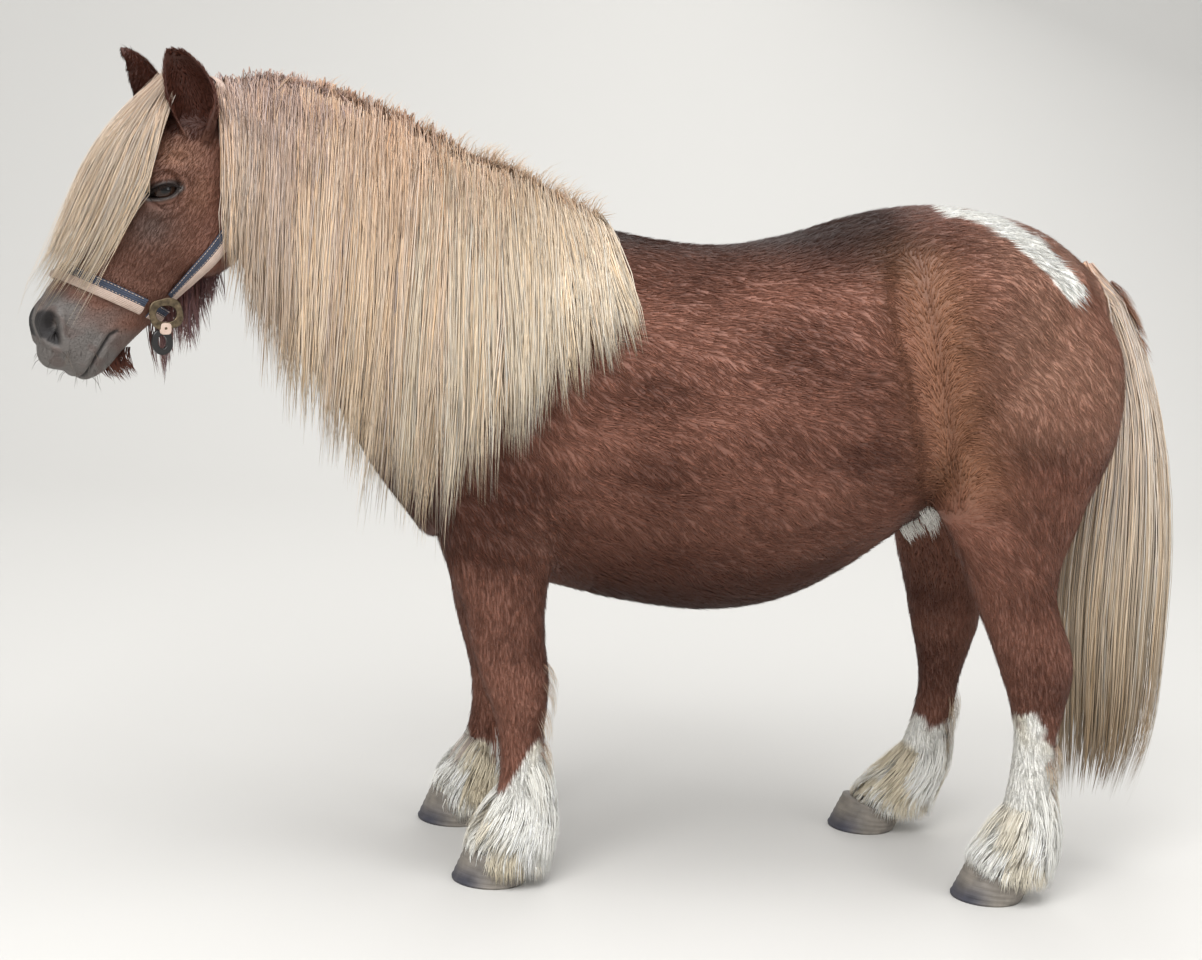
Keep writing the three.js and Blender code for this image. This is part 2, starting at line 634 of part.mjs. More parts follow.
// Head hair, drawn on the head before it is turned: forelock, beard along the jaw and chin tuft.
const onHead = target(headFlesh(0));
const FORELOCK = { top: 1106, tip: 815, count: 4, layers: 2, width: 46, thickness: 9 };
const FORELOCK_DROPS = [0, 0.12, 0.3, 0.5, 0.75, 1];
const FORELOCK_SPREAD = 50; // to each side of the nose
const FOREHEAD = [[860, -960], [960, -905], [1110, -830]]; // where a lock passes beside the face
function forelock() {
  const draw = seeded(404);
  const locks = [];
  for (let layer = 0; layer < FORELOCK.layers; layer++)
    for (let i = 0; i < FORELOCK.count; i++) {
      const across = (i - (FORELOCK.count - 1) / 2) / (FORELOCK.count / 2); // -1 near to 1 far
      const tip = FORELOCK.tip - 20 * draw() + 55 * Math.max(0, across) - 10 * layer;
      const path = [vec(-800, 10 * across, 1085)];
      for (const drop of FORELOCK_DROPS) {
        const z = THREE.MathUtils.lerp(FORELOCK.top, tip, drop);
        const opened = FORELOCK_SPREAD * Math.sin(Math.min(1, drop * 1.6) * 1.5);
        const y = across * (14 + opened) - 12 * drop;
        const hit = onHead(vec(-1400, y, z), vec(1, 0, 0));
        const lift = 6 + 5 * layer + 5 * drop;
        path.push(vec((hit ? hit.x : lineAt(FOREHEAD, z)) - lift * 1.2, y, z + lift * 0.4));
      }
      const width = FORELOCK.width * (0.8 + 0.4 * draw());
      locks.push(lock(path, vec(0, 1, 0), width, FORELOCK.thickness, 4));
    }
  return joined(locks);
}
const BEARD_ROOTS = [[-784, 870], [-818, 830], [-852, 792], [-938, 712]]; // along the jaw, then the chin
const BEARD = { jawLength: 84, chinLength: 42, width: 34, thickness: 10 };
function beard() {
  const draw = seeded(505);
  const locks = [];
  BEARD_ROOTS.forEach(([x, z], i) => {
    const chin = i === BEARD_ROOTS.length - 1;
    const length = chin ? BEARD.chinLength : BEARD.jawLength;
    for (const side of chin ? [0] : [-1, 1]) {
      const y = side * (12 + 6 * draw());
      const lean = 6 + 10 * draw();
      const path = [
        vec(x - 10, y, z + 14),
        vec(x + 2, y, z - 8),
        vec(x + lean * 0.6, y * 1.1, z - length * 0.5),
        vec(x + (chin ? 30 : lean), y * 0.9, z - length),
      ];
      const hint = vec(1, 0.3 * (draw() - 0.5), 0);
      locks.push(lock(path, hint, BEARD.width, BEARD.thickness, 3));
    }
  });
  return joined(locks);
}

// Mouth, nostrils and eye slits, cut into the head before it is turned.
// The mouth goes in no further than this skull.
const MOUTH_BACK = { rings: 5, sides: 8, capStart: 20, capEnd: 20, grow: -10 };
const MOUTH = { from: vec(-985, 0, 668), to: vec(-940, 0, 762), width: 140, height: 2.4 };
function mouthCut() {
  const { from, to, width, height } = MOUTH;
  const geometry = new THREE.BoxGeometry(from.distanceTo(to), width, height);
  geometry.rotateY(-Math.atan2(to.z - from.z, to.x - from.x));
  geometry.translate((from.x + to.x) / 2, 0, (from.z + to.z) / 2);
  return solidOf(geometry).subtract(flesh(SKULL, MOUTH_BACK));
}
function faceCuts() {
  const cuts = [mouthCut()];
  for (const side of [-1, 1]) {
    cuts.push(bulge([-1026, side * 50, 762], [21, 15, 8.5], { tilt: AXIS_TILT + 50 }));
    cuts.push(eyeball(side, EYE.radius, GAP));
    const { half, depth, tall, slope } = EYE_SLIT;
    const outside = [EYE.x - 1, side * (EYE.y + depth), EYE.z];
    cuts.push(bulge(outside, [half, depth, tall], { tilt: slope, sides: EYE_SIDES }));
  }
  return joined(cuts);
}

// Ears: short broad leaves with a cup that opens forward and out.
const EAR = [
  [-852, 1050, -800, 1034, 22, -46, 0, 2],
  [-874, 1082, -798, 1074, 26, -54, 0, 2],
  [-882, 1108, -810, 1106, 24, -59, 0, 2],
  [-884, 1132, -838, 1132, 16, -63, 0, 2],
  [-884, 1148, -866, 1150, 8, -65, 0, 2],
];
const EAR_CUP = [
  [-880, 1072, -828, 1066, 15, -67, 0, 2],
  [-892, 1090, -822, 1086, 20, -73, 0, 2],
  [-898, 1110, -832, 1110, 18, -76, 0, 2],
  [-895, 1130, -853, 1130, 9, -75, 0, 2],
];
const FAR_EAR_STEP = [[1034, 0], [1080, -4], [1150, -20]]; // the far ear leans further forward
const EAR_SHAPE = { rings: 4, sides: 8, capStart: 8, capEnd: 4 };
const earSolid = (far, grow) => {
  const side = (table) => (far ? onFarSide(table, FAR_EAR_STEP) : table);
  const cup = flesh(side(EAR_CUP), { ...EAR_SHAPE, grow: -grow });
  return flesh(side(EAR), { ...EAR_SHAPE, grow }).subtract(cup);
};

// Halter: a webbing noseband and jaw strap, cheek straps and a crown behind the ears, with metal fittings.
const WEB = { width: 24, thickness: 3, lift: 2 };
const onHeadCore = target(headCore);
const headBack = headMatrix.clone().invert();
function onTurnedHead(origin, way) {
  const from = origin.clone().applyMatrix4(headMatrix);
  const hit = onHeadCore(from, way.clone().transformDirection(headMatrix));
  return hit && hit.applyMatrix4(headBack);
}

// A flat band through pairs of edge points, each pair with its own way out.
function band(stations, grow) {
  const rings = stations.map(({ low, high, out }) => {
    const across = high.clone().sub(low).normalize();
    const [a, b] = [moved(low, across, -grow), moved(high, across, grow)];
    const [inner, outer] = [WEB.lift - grow, WEB.lift + WEB.thickness + grow];
    return [moved(a, out, inner), moved(b, out, inner), moved(b, out, outer), moved(a, out, outer)];
  });
  const middle = (ring) => {
    const sum = ring.reduce((total, p) => total.add(p), vec(0, 0, 0));
    return sum.divideScalar(ring.length);
  };
  return turned(solidOf(skinRings(rings, middle(rings[0]), middle(rings[rings.length - 1]))));
}

// Stations of a taut strap round the head, in the plane of `u` and `v` through `centre`, from one angle to
// another in degrees.
const CAST_FROM = 400; // how far off the head a test ray starts
const TAUT_PASSES = 30;
function strapRound({ centre, u, v }, from, to, steps) {
  const across = vec(0, 0, 0).crossVectors(u, v);
  const ways = [];
  for (let i = 0; i <= steps; i++) {
    const angle = THREE.MathUtils.degToRad(from + ((to - from) * i) / steps);
    ways.push(moved(u.clone().multiplyScalar(Math.cos(angle)), v, Math.sin(angle)));
  }
  const edges = [-WEB.width / 2, WEB.width / 2].map((shift) => {
    const middle = moved(centre, across, shift);
    const reach = ways.map((way) => {
      const hit = onTurnedHead(moved(middle, way, CAST_FROM), way.clone().negate());
      return hit.distanceTo(middle);
    });
    const chord = 2 * Math.cos(THREE.MathUtils.degToRad((to - from) / steps));
    for (let pass = 0; pass < TAUT_PASSES; pass++)
      for (let i = 1; i < steps; i++) {
        const taut = (chord * reach[i - 1] * reach[i + 1]) / (reach[i - 1] + reach[i + 1]);
        reach[i] = Math.max(reach[i], taut);
      }
    return ways.map((way, i) => moved(middle, way, reach[i]));
  });
  return ways.map((way, i) => ({ low: edges[0][i], high: edges[1][i], out: way }));
}

// Stations of a strap laid straight down one side of the head.
function strapDown(side, from, to, steps) {
  const way = to.clone().sub(from).normalize();
  const across = vec(-way.z, 0, way.x);
  const out = vec(0, side, 0);
  const edges = [-WEB.width / 2, WEB.width / 2].map((shift) => {
    const points = [];
    for (let i = 0; i <= steps; i++) {
      const at = moved(from.clone().lerp(to, i / steps), across, shift);
      points.push(onTurnedHead(moved(at, out, CAST_FROM), vec(0, -side, 0)));
    }
    for (let pass = 0; pass < TAUT_PASSES; pass++)
      for (let i = 1; i < steps; i++) {
        const taut = (points[i - 1].y + points[i + 1].y) / 2;
        if (side * taut > side * points[i].y) points[i].y = taut;
      }
    return points;
  });
  return edges[0].map((low, i) => ({ low, high: edges[1][i], out }));
}

const NOSE_PLANE = { centre: vec(-925, 0, 806), u: vec(-0.924, 0, 0.383), v: vec(0, -1, 0) };
const CROWN_PLANE = { centre: vec(-788, 0, 1010), u: vec(0, 0, 1), v: vec(0, -1, 0) };
const CHEEK_LOW = vec(-862, 0, 806);
const CHEEK_HIGH = vec(-787, 0, 914);
const SIDE_ANGLE = 116; // where the noseband gives over to the jaw strap
const CROWN_ANGLE = 134;
const STRAP_PART = 1.5; // degrees between the jaw strap and the noseband
const [jawFrom, jawTo] = [SIDE_ANGLE + STRAP_PART, 360 - STRAP_PART - SIDE_ANGLE];
const noseStrap = strapRound(NOSE_PLANE, -SIDE_ANGLE, SIDE_ANGLE, 18);
const jawStrap = strapRound(NOSE_PLANE, jawFrom, jawTo, 8);
const crownStrap = strapRound(CROWN_PLANE, -CROWN_ANGLE, CROWN_ANGLE, 18);
const cheekStraps = [-1, 1].map((side) => strapDown(side, CHEEK_LOW, CHEEK_HIGH, 6));
const straps = {
  halter_noseband: noseStrap,
  halter_jaw_strap: jawStrap,
  halter_crown: crownStrap,
  halter_cheek_left: cheekStraps[0],
  halter_cheek_right: cheekStraps[1],
};
for (const [name, stations] of Object.entries(straps)) node(name, band(stations, 0), webbing);
const strapsClear = joined(Object.values(straps).map((stations) => band(stations, GAP)));

// A flat metal fitting with a hole, lying over the straps on one side of the head.
const ROUND_HOLE = { x: 0, z: -1, wide: 27, tall: 20 };
const BUCKLE_HOLE = { x: 0, z: 0, wide: 22, tall: 14 };
const FITTING_THICKNESS = 3.2;
const FITTING_LIFT = 2.6; // of its middle over the strap
const FITTING_FACETS = 7; // to a quarter of the outline
const FITTING_TESTS = [-0.45, 0, 0.45]; // shares of its size, where the head under it is felt for
function fitting({ side, x, z, wide, tall, hole, tilt }, grow) {
  const outline = new THREE.Shape();
  outline.absellipse(0, 0, wide / 2 + grow, tall / 2 + grow, 0, 2 * Math.PI);
  const opening = new THREE.Path();
  opening.absellipse(hole.x, hole.z, hole.wide / 2 - grow, hole.tall / 2 - grow, 0, 2 * Math.PI);
  outline.holes.push(opening);
  const depth = FITTING_THICKNESS + 2 * grow;
  const settings = { depth, bevelEnabled: false, curveSegments: FITTING_FACETS };
  const geometry = new THREE.ExtrudeGeometry(outline, settings);
  geometry.translate(0, 0, -depth / 2);
  geometry.rotateX(Math.PI / 2);
  geometry.rotateY(-THREE.MathUtils.degToRad(tilt));
  const under = FITTING_TESTS.flatMap((a) =>
    FITTING_TESTS.map((b) => {
      const from = vec(x + a * wide, side * CAST_FROM, z + b * tall);
      const hit = onTurnedHead(from, vec(0, -side, 0));
      return hit ? Math.abs(hit.y) : 0;
    }),
  );
  const off = Math.max(...under) + WEB.lift + WEB.thickness + FITTING_LIFT;
  geometry.translate(x, side * off, z);
  return turned(solidOf(geometry));
}
const FITTINGS = {
  halter_fitting_left: { side: -1, x: -872, z: 788, wide: 48, tall: 42, hole: ROUND_HOLE, tilt: 0 },
  halter_fitting_right: { side: 1, x: -872, z: 788, wide: 48, tall: 42, hole: ROUND_HOLE, tilt: 0 },
  halter_buckle_left: { side: -1, x: -783, z: 926, wide: 34, tall: 26, hole: BUCKLE_HOLE, tilt: 60 },
};
for (const [name, shape] of Object.entries(FITTINGS)) node(name, fitting(shape, 0), steel);
const fittingsClear = joined(Object.values(FITTINGS).map((shape) => fitting(shape, GAP)));
for (const name of Object.keys(straps)) bodies.set(name, bodies.get(name).subtract(fittingsClear));
const halterClear = joined([strapsClear, fittingsClear]);

const headHaired = joined([headCore, turned(joined([forelock(), beard()]))]);
const earsClear = turned(joined([earSolid(false, GAP), earSolid(true, GAP)])).subtract(headCore);
node("head", headHaired.subtract(turned(faceCuts())).subtract(halterClear).subtract(earsClear), chestnut);
node("neck", neckHaired.subtract(halterClear).subtract(earsClear), chestnut);
for (const [name, far] of [["ear_left", false], ["ear_right", true]])
  node(name, turned(earSolid(far, 0)).subtract(headCoreClear).subtract(halterClear), chestnut);
for (const [name, side] of [["eye_left", -1], ["eye_right", 1]])
  node(name, turned(eyeball(side, EYE.radius, 0)), eyeDark);

// Tail: the dock and a core half way down it, with locks all round that reach almost to the ground.
const TAIL_CORE = [
  [440, 905, 465, 962, 28, 0, 0, 2],
  [505, 885, 535, 938, 33, 0, 0, 2],
  [538, 835, 588, 872, 36, 0, 0, 2],
  [552, 760, 616, 776, 42, 0, 0, 2],
  [556, 680, 632, 686, 44, 0, 0, 2],
  [562, 600, 636, 600, 38, 0, 0, 2],
  [575, 535, 630, 535, 26, 0, 0, 2],
];
const TAIL_CORE_SHAPE = { rings: 7, sides: 12, capStart: 10, capEnd: 25 };
// x of the tail's middle and half its width, at each height.
const TAIL_MIDDLE = [
  [110, 604], [200, 614], [300, 608], [420, 601],
  [490, 600], [660, 596], [780, 582], [880, 556],
];
const TAIL_HALF = [[110, 44], [180, 60], [300, 68], [490, 74], [660, 54], [780, 38], [880, 30]];
const TAIL_LOCK = { count: 14, turn: 2.4, high: 880, low: 560, tip: 118, width: 50, thickness: 15 };
const TAIL_ROWS = 7; // the roots stand at this many heights
const TAIL_DROPS = [0, 0.1, 0.25, 0.45, 0.7, 0.88, 1];
function tail() {
  const draw = seeded(606);
  const parts = [flesh(TAIL_CORE, TAIL_CORE_SHAPE)];
  const { count, turn, high, low, tip, width, thickness } = TAIL_LOCK;
  for (let i = 0; i < count; i++) {
    const angle = turn * i + 0.5 * draw();
    const rootZ = THREE.MathUtils.lerp(high, low, (i % TAIL_ROWS) / (TAIL_ROWS - 1));
    const tipZ = tip + 120 * draw() ** 1.5;
    const spread = 0.55 + 0.4 * draw();
    const path = [];
    for (const drop of TAIL_DROPS) {
      const z = THREE.MathUtils.lerp(rootZ, tipZ, drop);
      const half = lineAt(TAIL_HALF, z) * (drop === 0 ? 0.45 : spread + 0.15 * Math.sin(3 * drop));
      path.push(vec(lineAt(TAIL_MIDDLE, z) + half * Math.cos(angle), 0.85 * half * Math.sin(angle), z));
    }
    const hint = vec(-Math.sin(angle), Math.cos(angle), 0);
    parts.push(lock(path, hint, width + 12 * draw(), thickness, 5));
  }
  return joined(parts);
}
node("tail", tail().subtract(torsoClear), flaxen);

const pony = new THREE.Group();
pony.name = "shetland_pony";
const scale = WITHERS_HEIGHT / DRAWN_HEIGHT;
for (const [name, solid] of bodies) {
  const mesh = new THREE.Mesh(geometryOf(welded(solid)), looks.get(name));
  mesh.name = name;
  pony.add(mesh);
}
pony.scale.setScalar(scale);
pony.position.copy(BOX_MIDDLE).multiplyScalar(-scale);
export default pony;
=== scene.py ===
import math
import bpy
import numpy as np
from mathutils import Matrix, Vector
from mathutils.bvhtree import BVHTree


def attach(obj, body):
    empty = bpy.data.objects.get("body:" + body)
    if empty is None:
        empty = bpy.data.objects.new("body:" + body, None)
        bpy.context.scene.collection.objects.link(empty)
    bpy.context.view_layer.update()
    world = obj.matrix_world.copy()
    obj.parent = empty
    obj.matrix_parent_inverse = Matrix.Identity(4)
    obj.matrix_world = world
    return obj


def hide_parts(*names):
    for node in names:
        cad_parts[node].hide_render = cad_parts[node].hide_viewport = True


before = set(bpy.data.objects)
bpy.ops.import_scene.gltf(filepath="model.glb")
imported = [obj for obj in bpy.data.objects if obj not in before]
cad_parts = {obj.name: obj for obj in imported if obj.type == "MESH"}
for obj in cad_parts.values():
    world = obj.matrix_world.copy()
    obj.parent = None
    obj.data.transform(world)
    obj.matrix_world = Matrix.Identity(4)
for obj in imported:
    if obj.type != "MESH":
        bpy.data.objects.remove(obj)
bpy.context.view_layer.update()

# Floor, light and camera
# A plain pale studio floor under a large soft light from above and in front, with a weaker one behind. The
# camera stands level with the withers, a little ahead of the near side, and is tipped slightly.
STANCE_X = 0.175  # the drawn tables have their zero this far behind the middle of the pony's box

bpy.ops.object.select_all(action="DESELECT")
BEND_AT, BEND_RADIUS = 3.0, 2.5  # where the floor starts to curve up behind the pony, and how gently
SWEEP = [(-30.0, 0.0), (BEND_AT, 0.0)] + [
    (BEND_AT + BEND_RADIUS * math.sin(math.radians(a)), BEND_RADIUS - BEND_RADIUS * math.cos(math.radians(a)))
    for a in range(6, 91, 6)
] + [(BEND_AT + BEND_RADIUS, 12.0)]
sweep_mesh = bpy.data.meshes.new("studio_floor")
sweep_mesh.from_pydata(
    [(x, y, z) for y, z in SWEEP for x in (-30, 30)], [],
    [(2 * i, 2 * i + 1, 2 * i + 3, 2 * i + 2) for i in range(len(SWEEP) - 1)])
sweep_mesh.polygons.foreach_set("use_smooth", np.ones(len(SWEEP) - 1, dtype=bool))
floor = bpy.data.objects.new("studio_floor", sweep_mesh)
bpy.context.collection.objects.link(floor)


class Wire:
    """One socket of a material, with the sums and products that are used on it."""

    def __init__(self, tree, socket):
        self.tree = tree
        self.socket = socket

    def node(self, kind, settings=None, **values):
        node = self.tree.nodes.new(kind)
        for name, value in (settings or {}).items():
            if name == "stops":
                while len(node.color_ramp.elements) > 1:
                    node.color_ramp.elements.remove(node.color_ramp.elements[0])
                for i, (place, colour) in enumerate(value):
                    stop = node.color_ramp.elements[0] if i == 0 else node.color_ramp.elements.new(place)
                    stop.position = place
                    stop.color = (*colour, 1)
            else:
                setattr(node, name, value)
        for name, value in values.items():
            key = int(name[1:]) if name[0] == "n" and name[1:].isdigit() else name.replace("_", " ")
            if isinstance(value, Wire):
                self.tree.links.new(value.socket, node.inputs[key])
            else:
                node.inputs[key].default_value = value
        return node

    def out(self, node, name=0):
        return Wire(self.tree, node.outputs[name])

    def math(self, operation, other):
        return self.out(self.node("ShaderNodeMath", {"operation": operation}, n0=self, n1=other))

    def __add__(self, other):
        return self.math("ADD", other)

    def __mul__(self, other):
        return self.math("MULTIPLY", other)

    __radd__ = __add__
    __rmul__ = __mul__


def new_material(name, roughness=0.6, **fixed):
    material = bpy.data.materials.new(name)
    material.use_nodes = True
    shader = material.node_tree.nodes["Principled BSDF"]
    shader.inputs["Roughness"].default_value = roughness
    for key, value in fixed.items():
        shader.inputs[key.replace("_", " ")].default_value = value
    return material, shader, Wire(material.node_tree, None)


def feed(shader, **wires):
    """Joins worked-out values to the sockets of a shader."""
    for name, wire in wires.items():
        wire.tree.links.new(wire.socket, shader.inputs[name.replace("_", " ")])


def linear(r, g, b):
    """A colour as it is seen, 0 to 255, turned into the linear values that a material takes."""
    seen = np.array([r, g, b])
    return tuple(np.where(seen <= 10, seen / 3294.6, ((seen / 255 + 0.055) / 1.055) ** 2.4).tolist())


floor_material, _, _ = new_material("studio_floor_matt", 0.9, Base_Color=(*linear(205, 203, 199), 1))
floor.data.materials.append(floor_material)

world = bpy.data.worlds.new("studio_world")
world.use_nodes = True
sky = world.node_tree.nodes["Background"]
sky.inputs["Color"].default_value = (0.86, 0.88, 0.9, 1)
sky.inputs["Strength"].default_value = 0.62
bpy.context.scene.world = world
for name, place, aim, size, power in (
    ("key", (-2.2, -4.2, 4.6), (0, 0, 0.6), 3.5, 260),
    ("top", (0.6, -0.6, 5.0), (0, 0, 0.6), 4.0, 170),
    ("fill", (3.6, -2.6, 2.2), (0, 0, 0.7), 2.5, 50),
    ("back", (1.5, 4.5, 3.5), (0, 0, 0.7), 3.0, 70),
):
    lamp = bpy.data.lights.new("studio_" + name, "AREA")
    lamp.shape = "SQUARE"
    lamp.size = size
    lamp.energy = power
    holder = bpy.data.objects.new("studio_" + name, lamp)
    bpy.context.collection.objects.link(holder)
    holder.location = place
    holder.rotation_euler = (Vector(aim) - Vector(place)).to_track_quat("-Z", "Y").to_euler()

CAMERA_AT = (-0.650 + STANCE_X, -3.186, 1.08)
SENSOR_WIDTH = 36
FOCAL_SHARE = 2200 / 1202  # focal length over the width of the picture
YAW, PITCH, ROLL = (math.radians(a) for a in (8.0, 9.0, 4.2))
ahead_level = Vector((math.sin(YAW), math.cos(YAW), 0))
right_level = Vector((math.cos(YAW), -math.sin(YAW), 0))
ahead = ahead_level * math.cos(PITCH) - Vector((0, 0, math.sin(PITCH)))
up_level = ahead_level * math.sin(PITCH) + Vector((0, 0, math.cos(PITCH)))
right = right_level * math.cos(ROLL) + up_level * math.sin(ROLL)
up = up_level * math.cos(ROLL) - right_level * math.sin(ROLL)
lens = bpy.data.cameras.new("studio_camera")
lens.sensor_width = SENSOR_WIDTH
lens.lens = FOCAL_SHARE * SENSOR_WIDTH
camera = bpy.data.objects.new("studio_camera", lens)
bpy.context.collection.objects.link(camera)
camera.matrix_world = Matrix((
    (right.x, up.x, -ahead.x, CAMERA_AT[0]),
    (right.y, up.y, -ahead.y, CAMERA_AT[1]),
    (right.z, up.z, -ahead.z, CAMERA_AT[2]),
    (0, 0, 0, 1),
))
bpy.context.scene.camera = camera
bpy.context.scene.view_settings.view_transform = "Standard"

# Skin
# The hide is one closed surface: barrel, rump, neck, head and legs run into each other without a seam, and it
# lies below the solids by the depth of the coat. Its shape is drawn in millimetres as rows of cross-sections.
# Each row has the upper or front point, the lower or back point, half width, middle's y, sag and squareness.
TORSO = [
    (-530, 735, -530, 612, 62, 0, 0, 2),
    (-500, 815, -500, 548, 112, 0, 0.05, 2.1),
    (-440, 895, -440, 486, 158, 0, 0.08, 2.2),
    (-360, 944, -360, 440, 192, 0, 0.1, 2.2),
    (-260, 947, -260, 412, 210, 0, 0.12, 2.15),
    (-160, 934, -160, 396, 230, 0, 0.12, 2.1),
    (-50, 930, -50, 388, 247, 0, 0.1, 2.1),
    (60, 955, 60, 408, 253, 0, 0.06, 2.15),
    (150, 988, 150, 455, 246, 0, 0, 2.2),
    (250, 1008, 250, 530, 234, 0, -0.06, 2.25),
    (350, 1003, 350, 590, 218, 0, -0.08, 2.25),
    (440, 975, 440, 630, 178, 0, -0.05, 2.2),
    (500, 935, 500, 690, 118, 0, 0, 2.1),
]
THIGH = [
    (330, 900, 480, 905, 60, -110, 0, 2.1),
    (285, 820, 524, 830, 88, -122, 0, 2.2),
    (258, 740, 535, 745, 98, -132, 0, 2.25),
    (246, 660, 522, 668, 94, -138, 0.05, 2.25),
    (256, 595, 497, 603, 82, -140, 0.05, 2.2),
    (290, 535, 478, 540, 64, -142, 0.05, 2.1),
]
SHOULDER = [
    (-360, 850, -245, 850, 50, -118, 0, 2.1),
    (-430, 740, -240, 730, 68, -132, 0, 2.1),
    (-468, 640, -245, 630, 74, -138, 0, 2.2),
    (-462, 560, -258, 548, 72, -137, 0, 2.2),
    (-446, 495, -272, 488, 63, -136, 0, 2.1),
]
NECK = [
    (-215, 940, -455, 470, 178, 0, 0.16, 2.1),
    (-300, 966, -535, 565, 160, 0, 0.16, 2.1),
    (-410, 1016, -590, 650, 134, -2, 0.16, 2.05),
    (-520, 1060, -640, 715, 112, -5, 0.15, 2.05),
    (-630, 1092, -690, 775, 96, -9, 0.12, 2.05),
    (-715, 1104, -728, 835, 84, -12, 0.08, 2.05),
    (-788, 1098, -757, 885, 72, -14, 0, 2.05),
]
FORELEG = [
    (-452, 560, -262, 550, 56, -134, 0, 2.1),
    (-442, 490, -274, 485, 58, -136, 0, 2.1),
    (-431, 445, -282, 442, 54, -138, 0, 2.1),
    (-410, 400, -284, 398, 49, -139, 0, 2.1),
    (-396, 346, -279, 346, 43, -139, 0, 2.2),
    (-382, 306, -272, 306, 41, -139, 0, 2.3),
    (-364, 265, -271, 265, 38, -139, 0, 2.3),
    (-352, 232, -273, 230, 32, -139, 0, 2.2),
    (-345, 196, -270, 190, 30, -139, 0, 2.1),
    (-343, 150, -266, 140, 31, -139, 0, 2.1),
    (-352, 116, -260, 100, 37, -139, 0, 2.1),
    (-366, 86, -268, 64, 41, -139, 0, 2.1),
    (-376, 58, -283, 34, 44, -139, 0, 2.1),
]
HINDLEG = [
    (262, 600, 490, 610, 72, -142, 0, 2.1),
    (290, 535, 476, 545, 64, -145, 0, 2.1),
    (318, 478, 462, 485, 54, -148, 0, 2.1),
    (341, 430, 468, 436, 46, -151, 0, 2.1),
    (362, 385, 490, 390, 41, -154, 0, 2.1),
    (381, 342, 500, 344, 39, -156, 0, 2.2),
    (398, 300, 493, 300, 35, -158, 0, 2.2),
    (411, 250, 486, 250, 31, -159, 0, 2.1),
    (411, 190, 484, 186, 30, -160, 0, 2.1),
    (406, 145, 486, 134, 32, -160, 0, 2.1),
    (395, 112, 490, 96, 37, -160, 0, 2.1),
    (380, 84, 480, 62, 41, -160, 0, 2.1),
    (367, 58, 464, 34, 44, -160, 0, 2.1),
]
FAR_FORE_STEP = ((0, -36), (120, -30), (300, -8), (520, 0))
FAR_HIND_STEP = ((0, -112), (60, -96), (120, -72), (200, -60), (330, -52), (460, -30), (620, 0))
NO_STEP = ((0, 0),)
SKULL = [
    (-800, 1112, -722, 1005, 58, 0, 0, 2.1),
    (-850, 1085, -740, 950, 72, 0, 0, 2.2),
    (-898, 1034, -756, 903, 80, 0, -0.05, 2.3),
    (-935, 975, -784, 862, 82, 0, -0.08, 2.3),
    (-962, 920, -818, 820, 70, 0, -0.05, 2.3),
    (-984, 874, -852, 785, 58, 0, 0, 2.3),
    (-1006, 836, -886, 755, 50, 0, 0, 2.3),
    (-1030, 800, -912, 728, 47, 0, 0, 2.3),
    (-1042, 770, -932, 706, 48, 0, 0.05, 2.35),
    (-1030, 742, -950, 694, 43, 0, 0.05, 2.3),
]
EYE_AT = np.array((-886.0, 60.0, 958.0))
EYE_RADIUS = 19.5
COAT, FACE_COAT, LIP_COAT = 5.0, 2.5, 2.0  # depth of the short coat over the hide


def line_at(pairs, x):
    pairs = np.array(pairs, float)
    return np.interp(x, pairs[:, 0], pairs[:, 1])


def far_side(table, step=NO_STEP):
    return [(a + line_at(step, b), b, c + line_at(step, d), d, wide, -y, low, square)
            for a, b, c, d, wide, y, low, square in table]


def rows_along(table, shares):
    """Cubic blend through the rows of a table, by the distance between the sections' middles."""
    rows = np.array(table, float)
    middle = np.stack([(rows[:, 0] + rows[:, 2]) / 2, (rows[:, 1] + rows[:, 3]) / 2], 1)
    gaps = np.linalg.norm(np.diff(middle, axis=0), axis=1)
    at = np.concatenate([[0], np.cumsum(gaps)])
    slopes = np.diff(rows, axis=0) / gaps[:, None]
    before, after = gaps[:-1, None], gaps[1:, None]
    inner = (slopes[:-1] * after + slopes[1:] * before) / (before + after)
    tangents = np.concatenate([slopes[:1], inner, slopes[-1:]])
    s = np.asarray(shares) * at[-1]
    i = np.clip(np.searchsorted(at, s, side="left") - 1, 0, len(gaps) - 1)
    h = gaps[i][:, None]
    p = np.clip((s - at[i])[:, None] / h, 0, 1)
    fall = (2 * p - 3) * p * p
    return (rows[i] * (fall + 1) - rows[i + 1] * fall + ((p - 2) * p + 1) * p * h * tangents[i]
            + (p - 1) * p * p * h * tangents[i + 1])


def grid_faces(rows, columns, closed=False):
    """Quads over a grid of points, closed round its columns if asked."""
    faces = []
    for r in range(rows - 1):
        for c in range(columns if closed else columns - 1):
            a, b = r * columns + c, r * columns + (c + 1) % columns
            faces.append((a, b, b + columns, a + columns))
    return faces


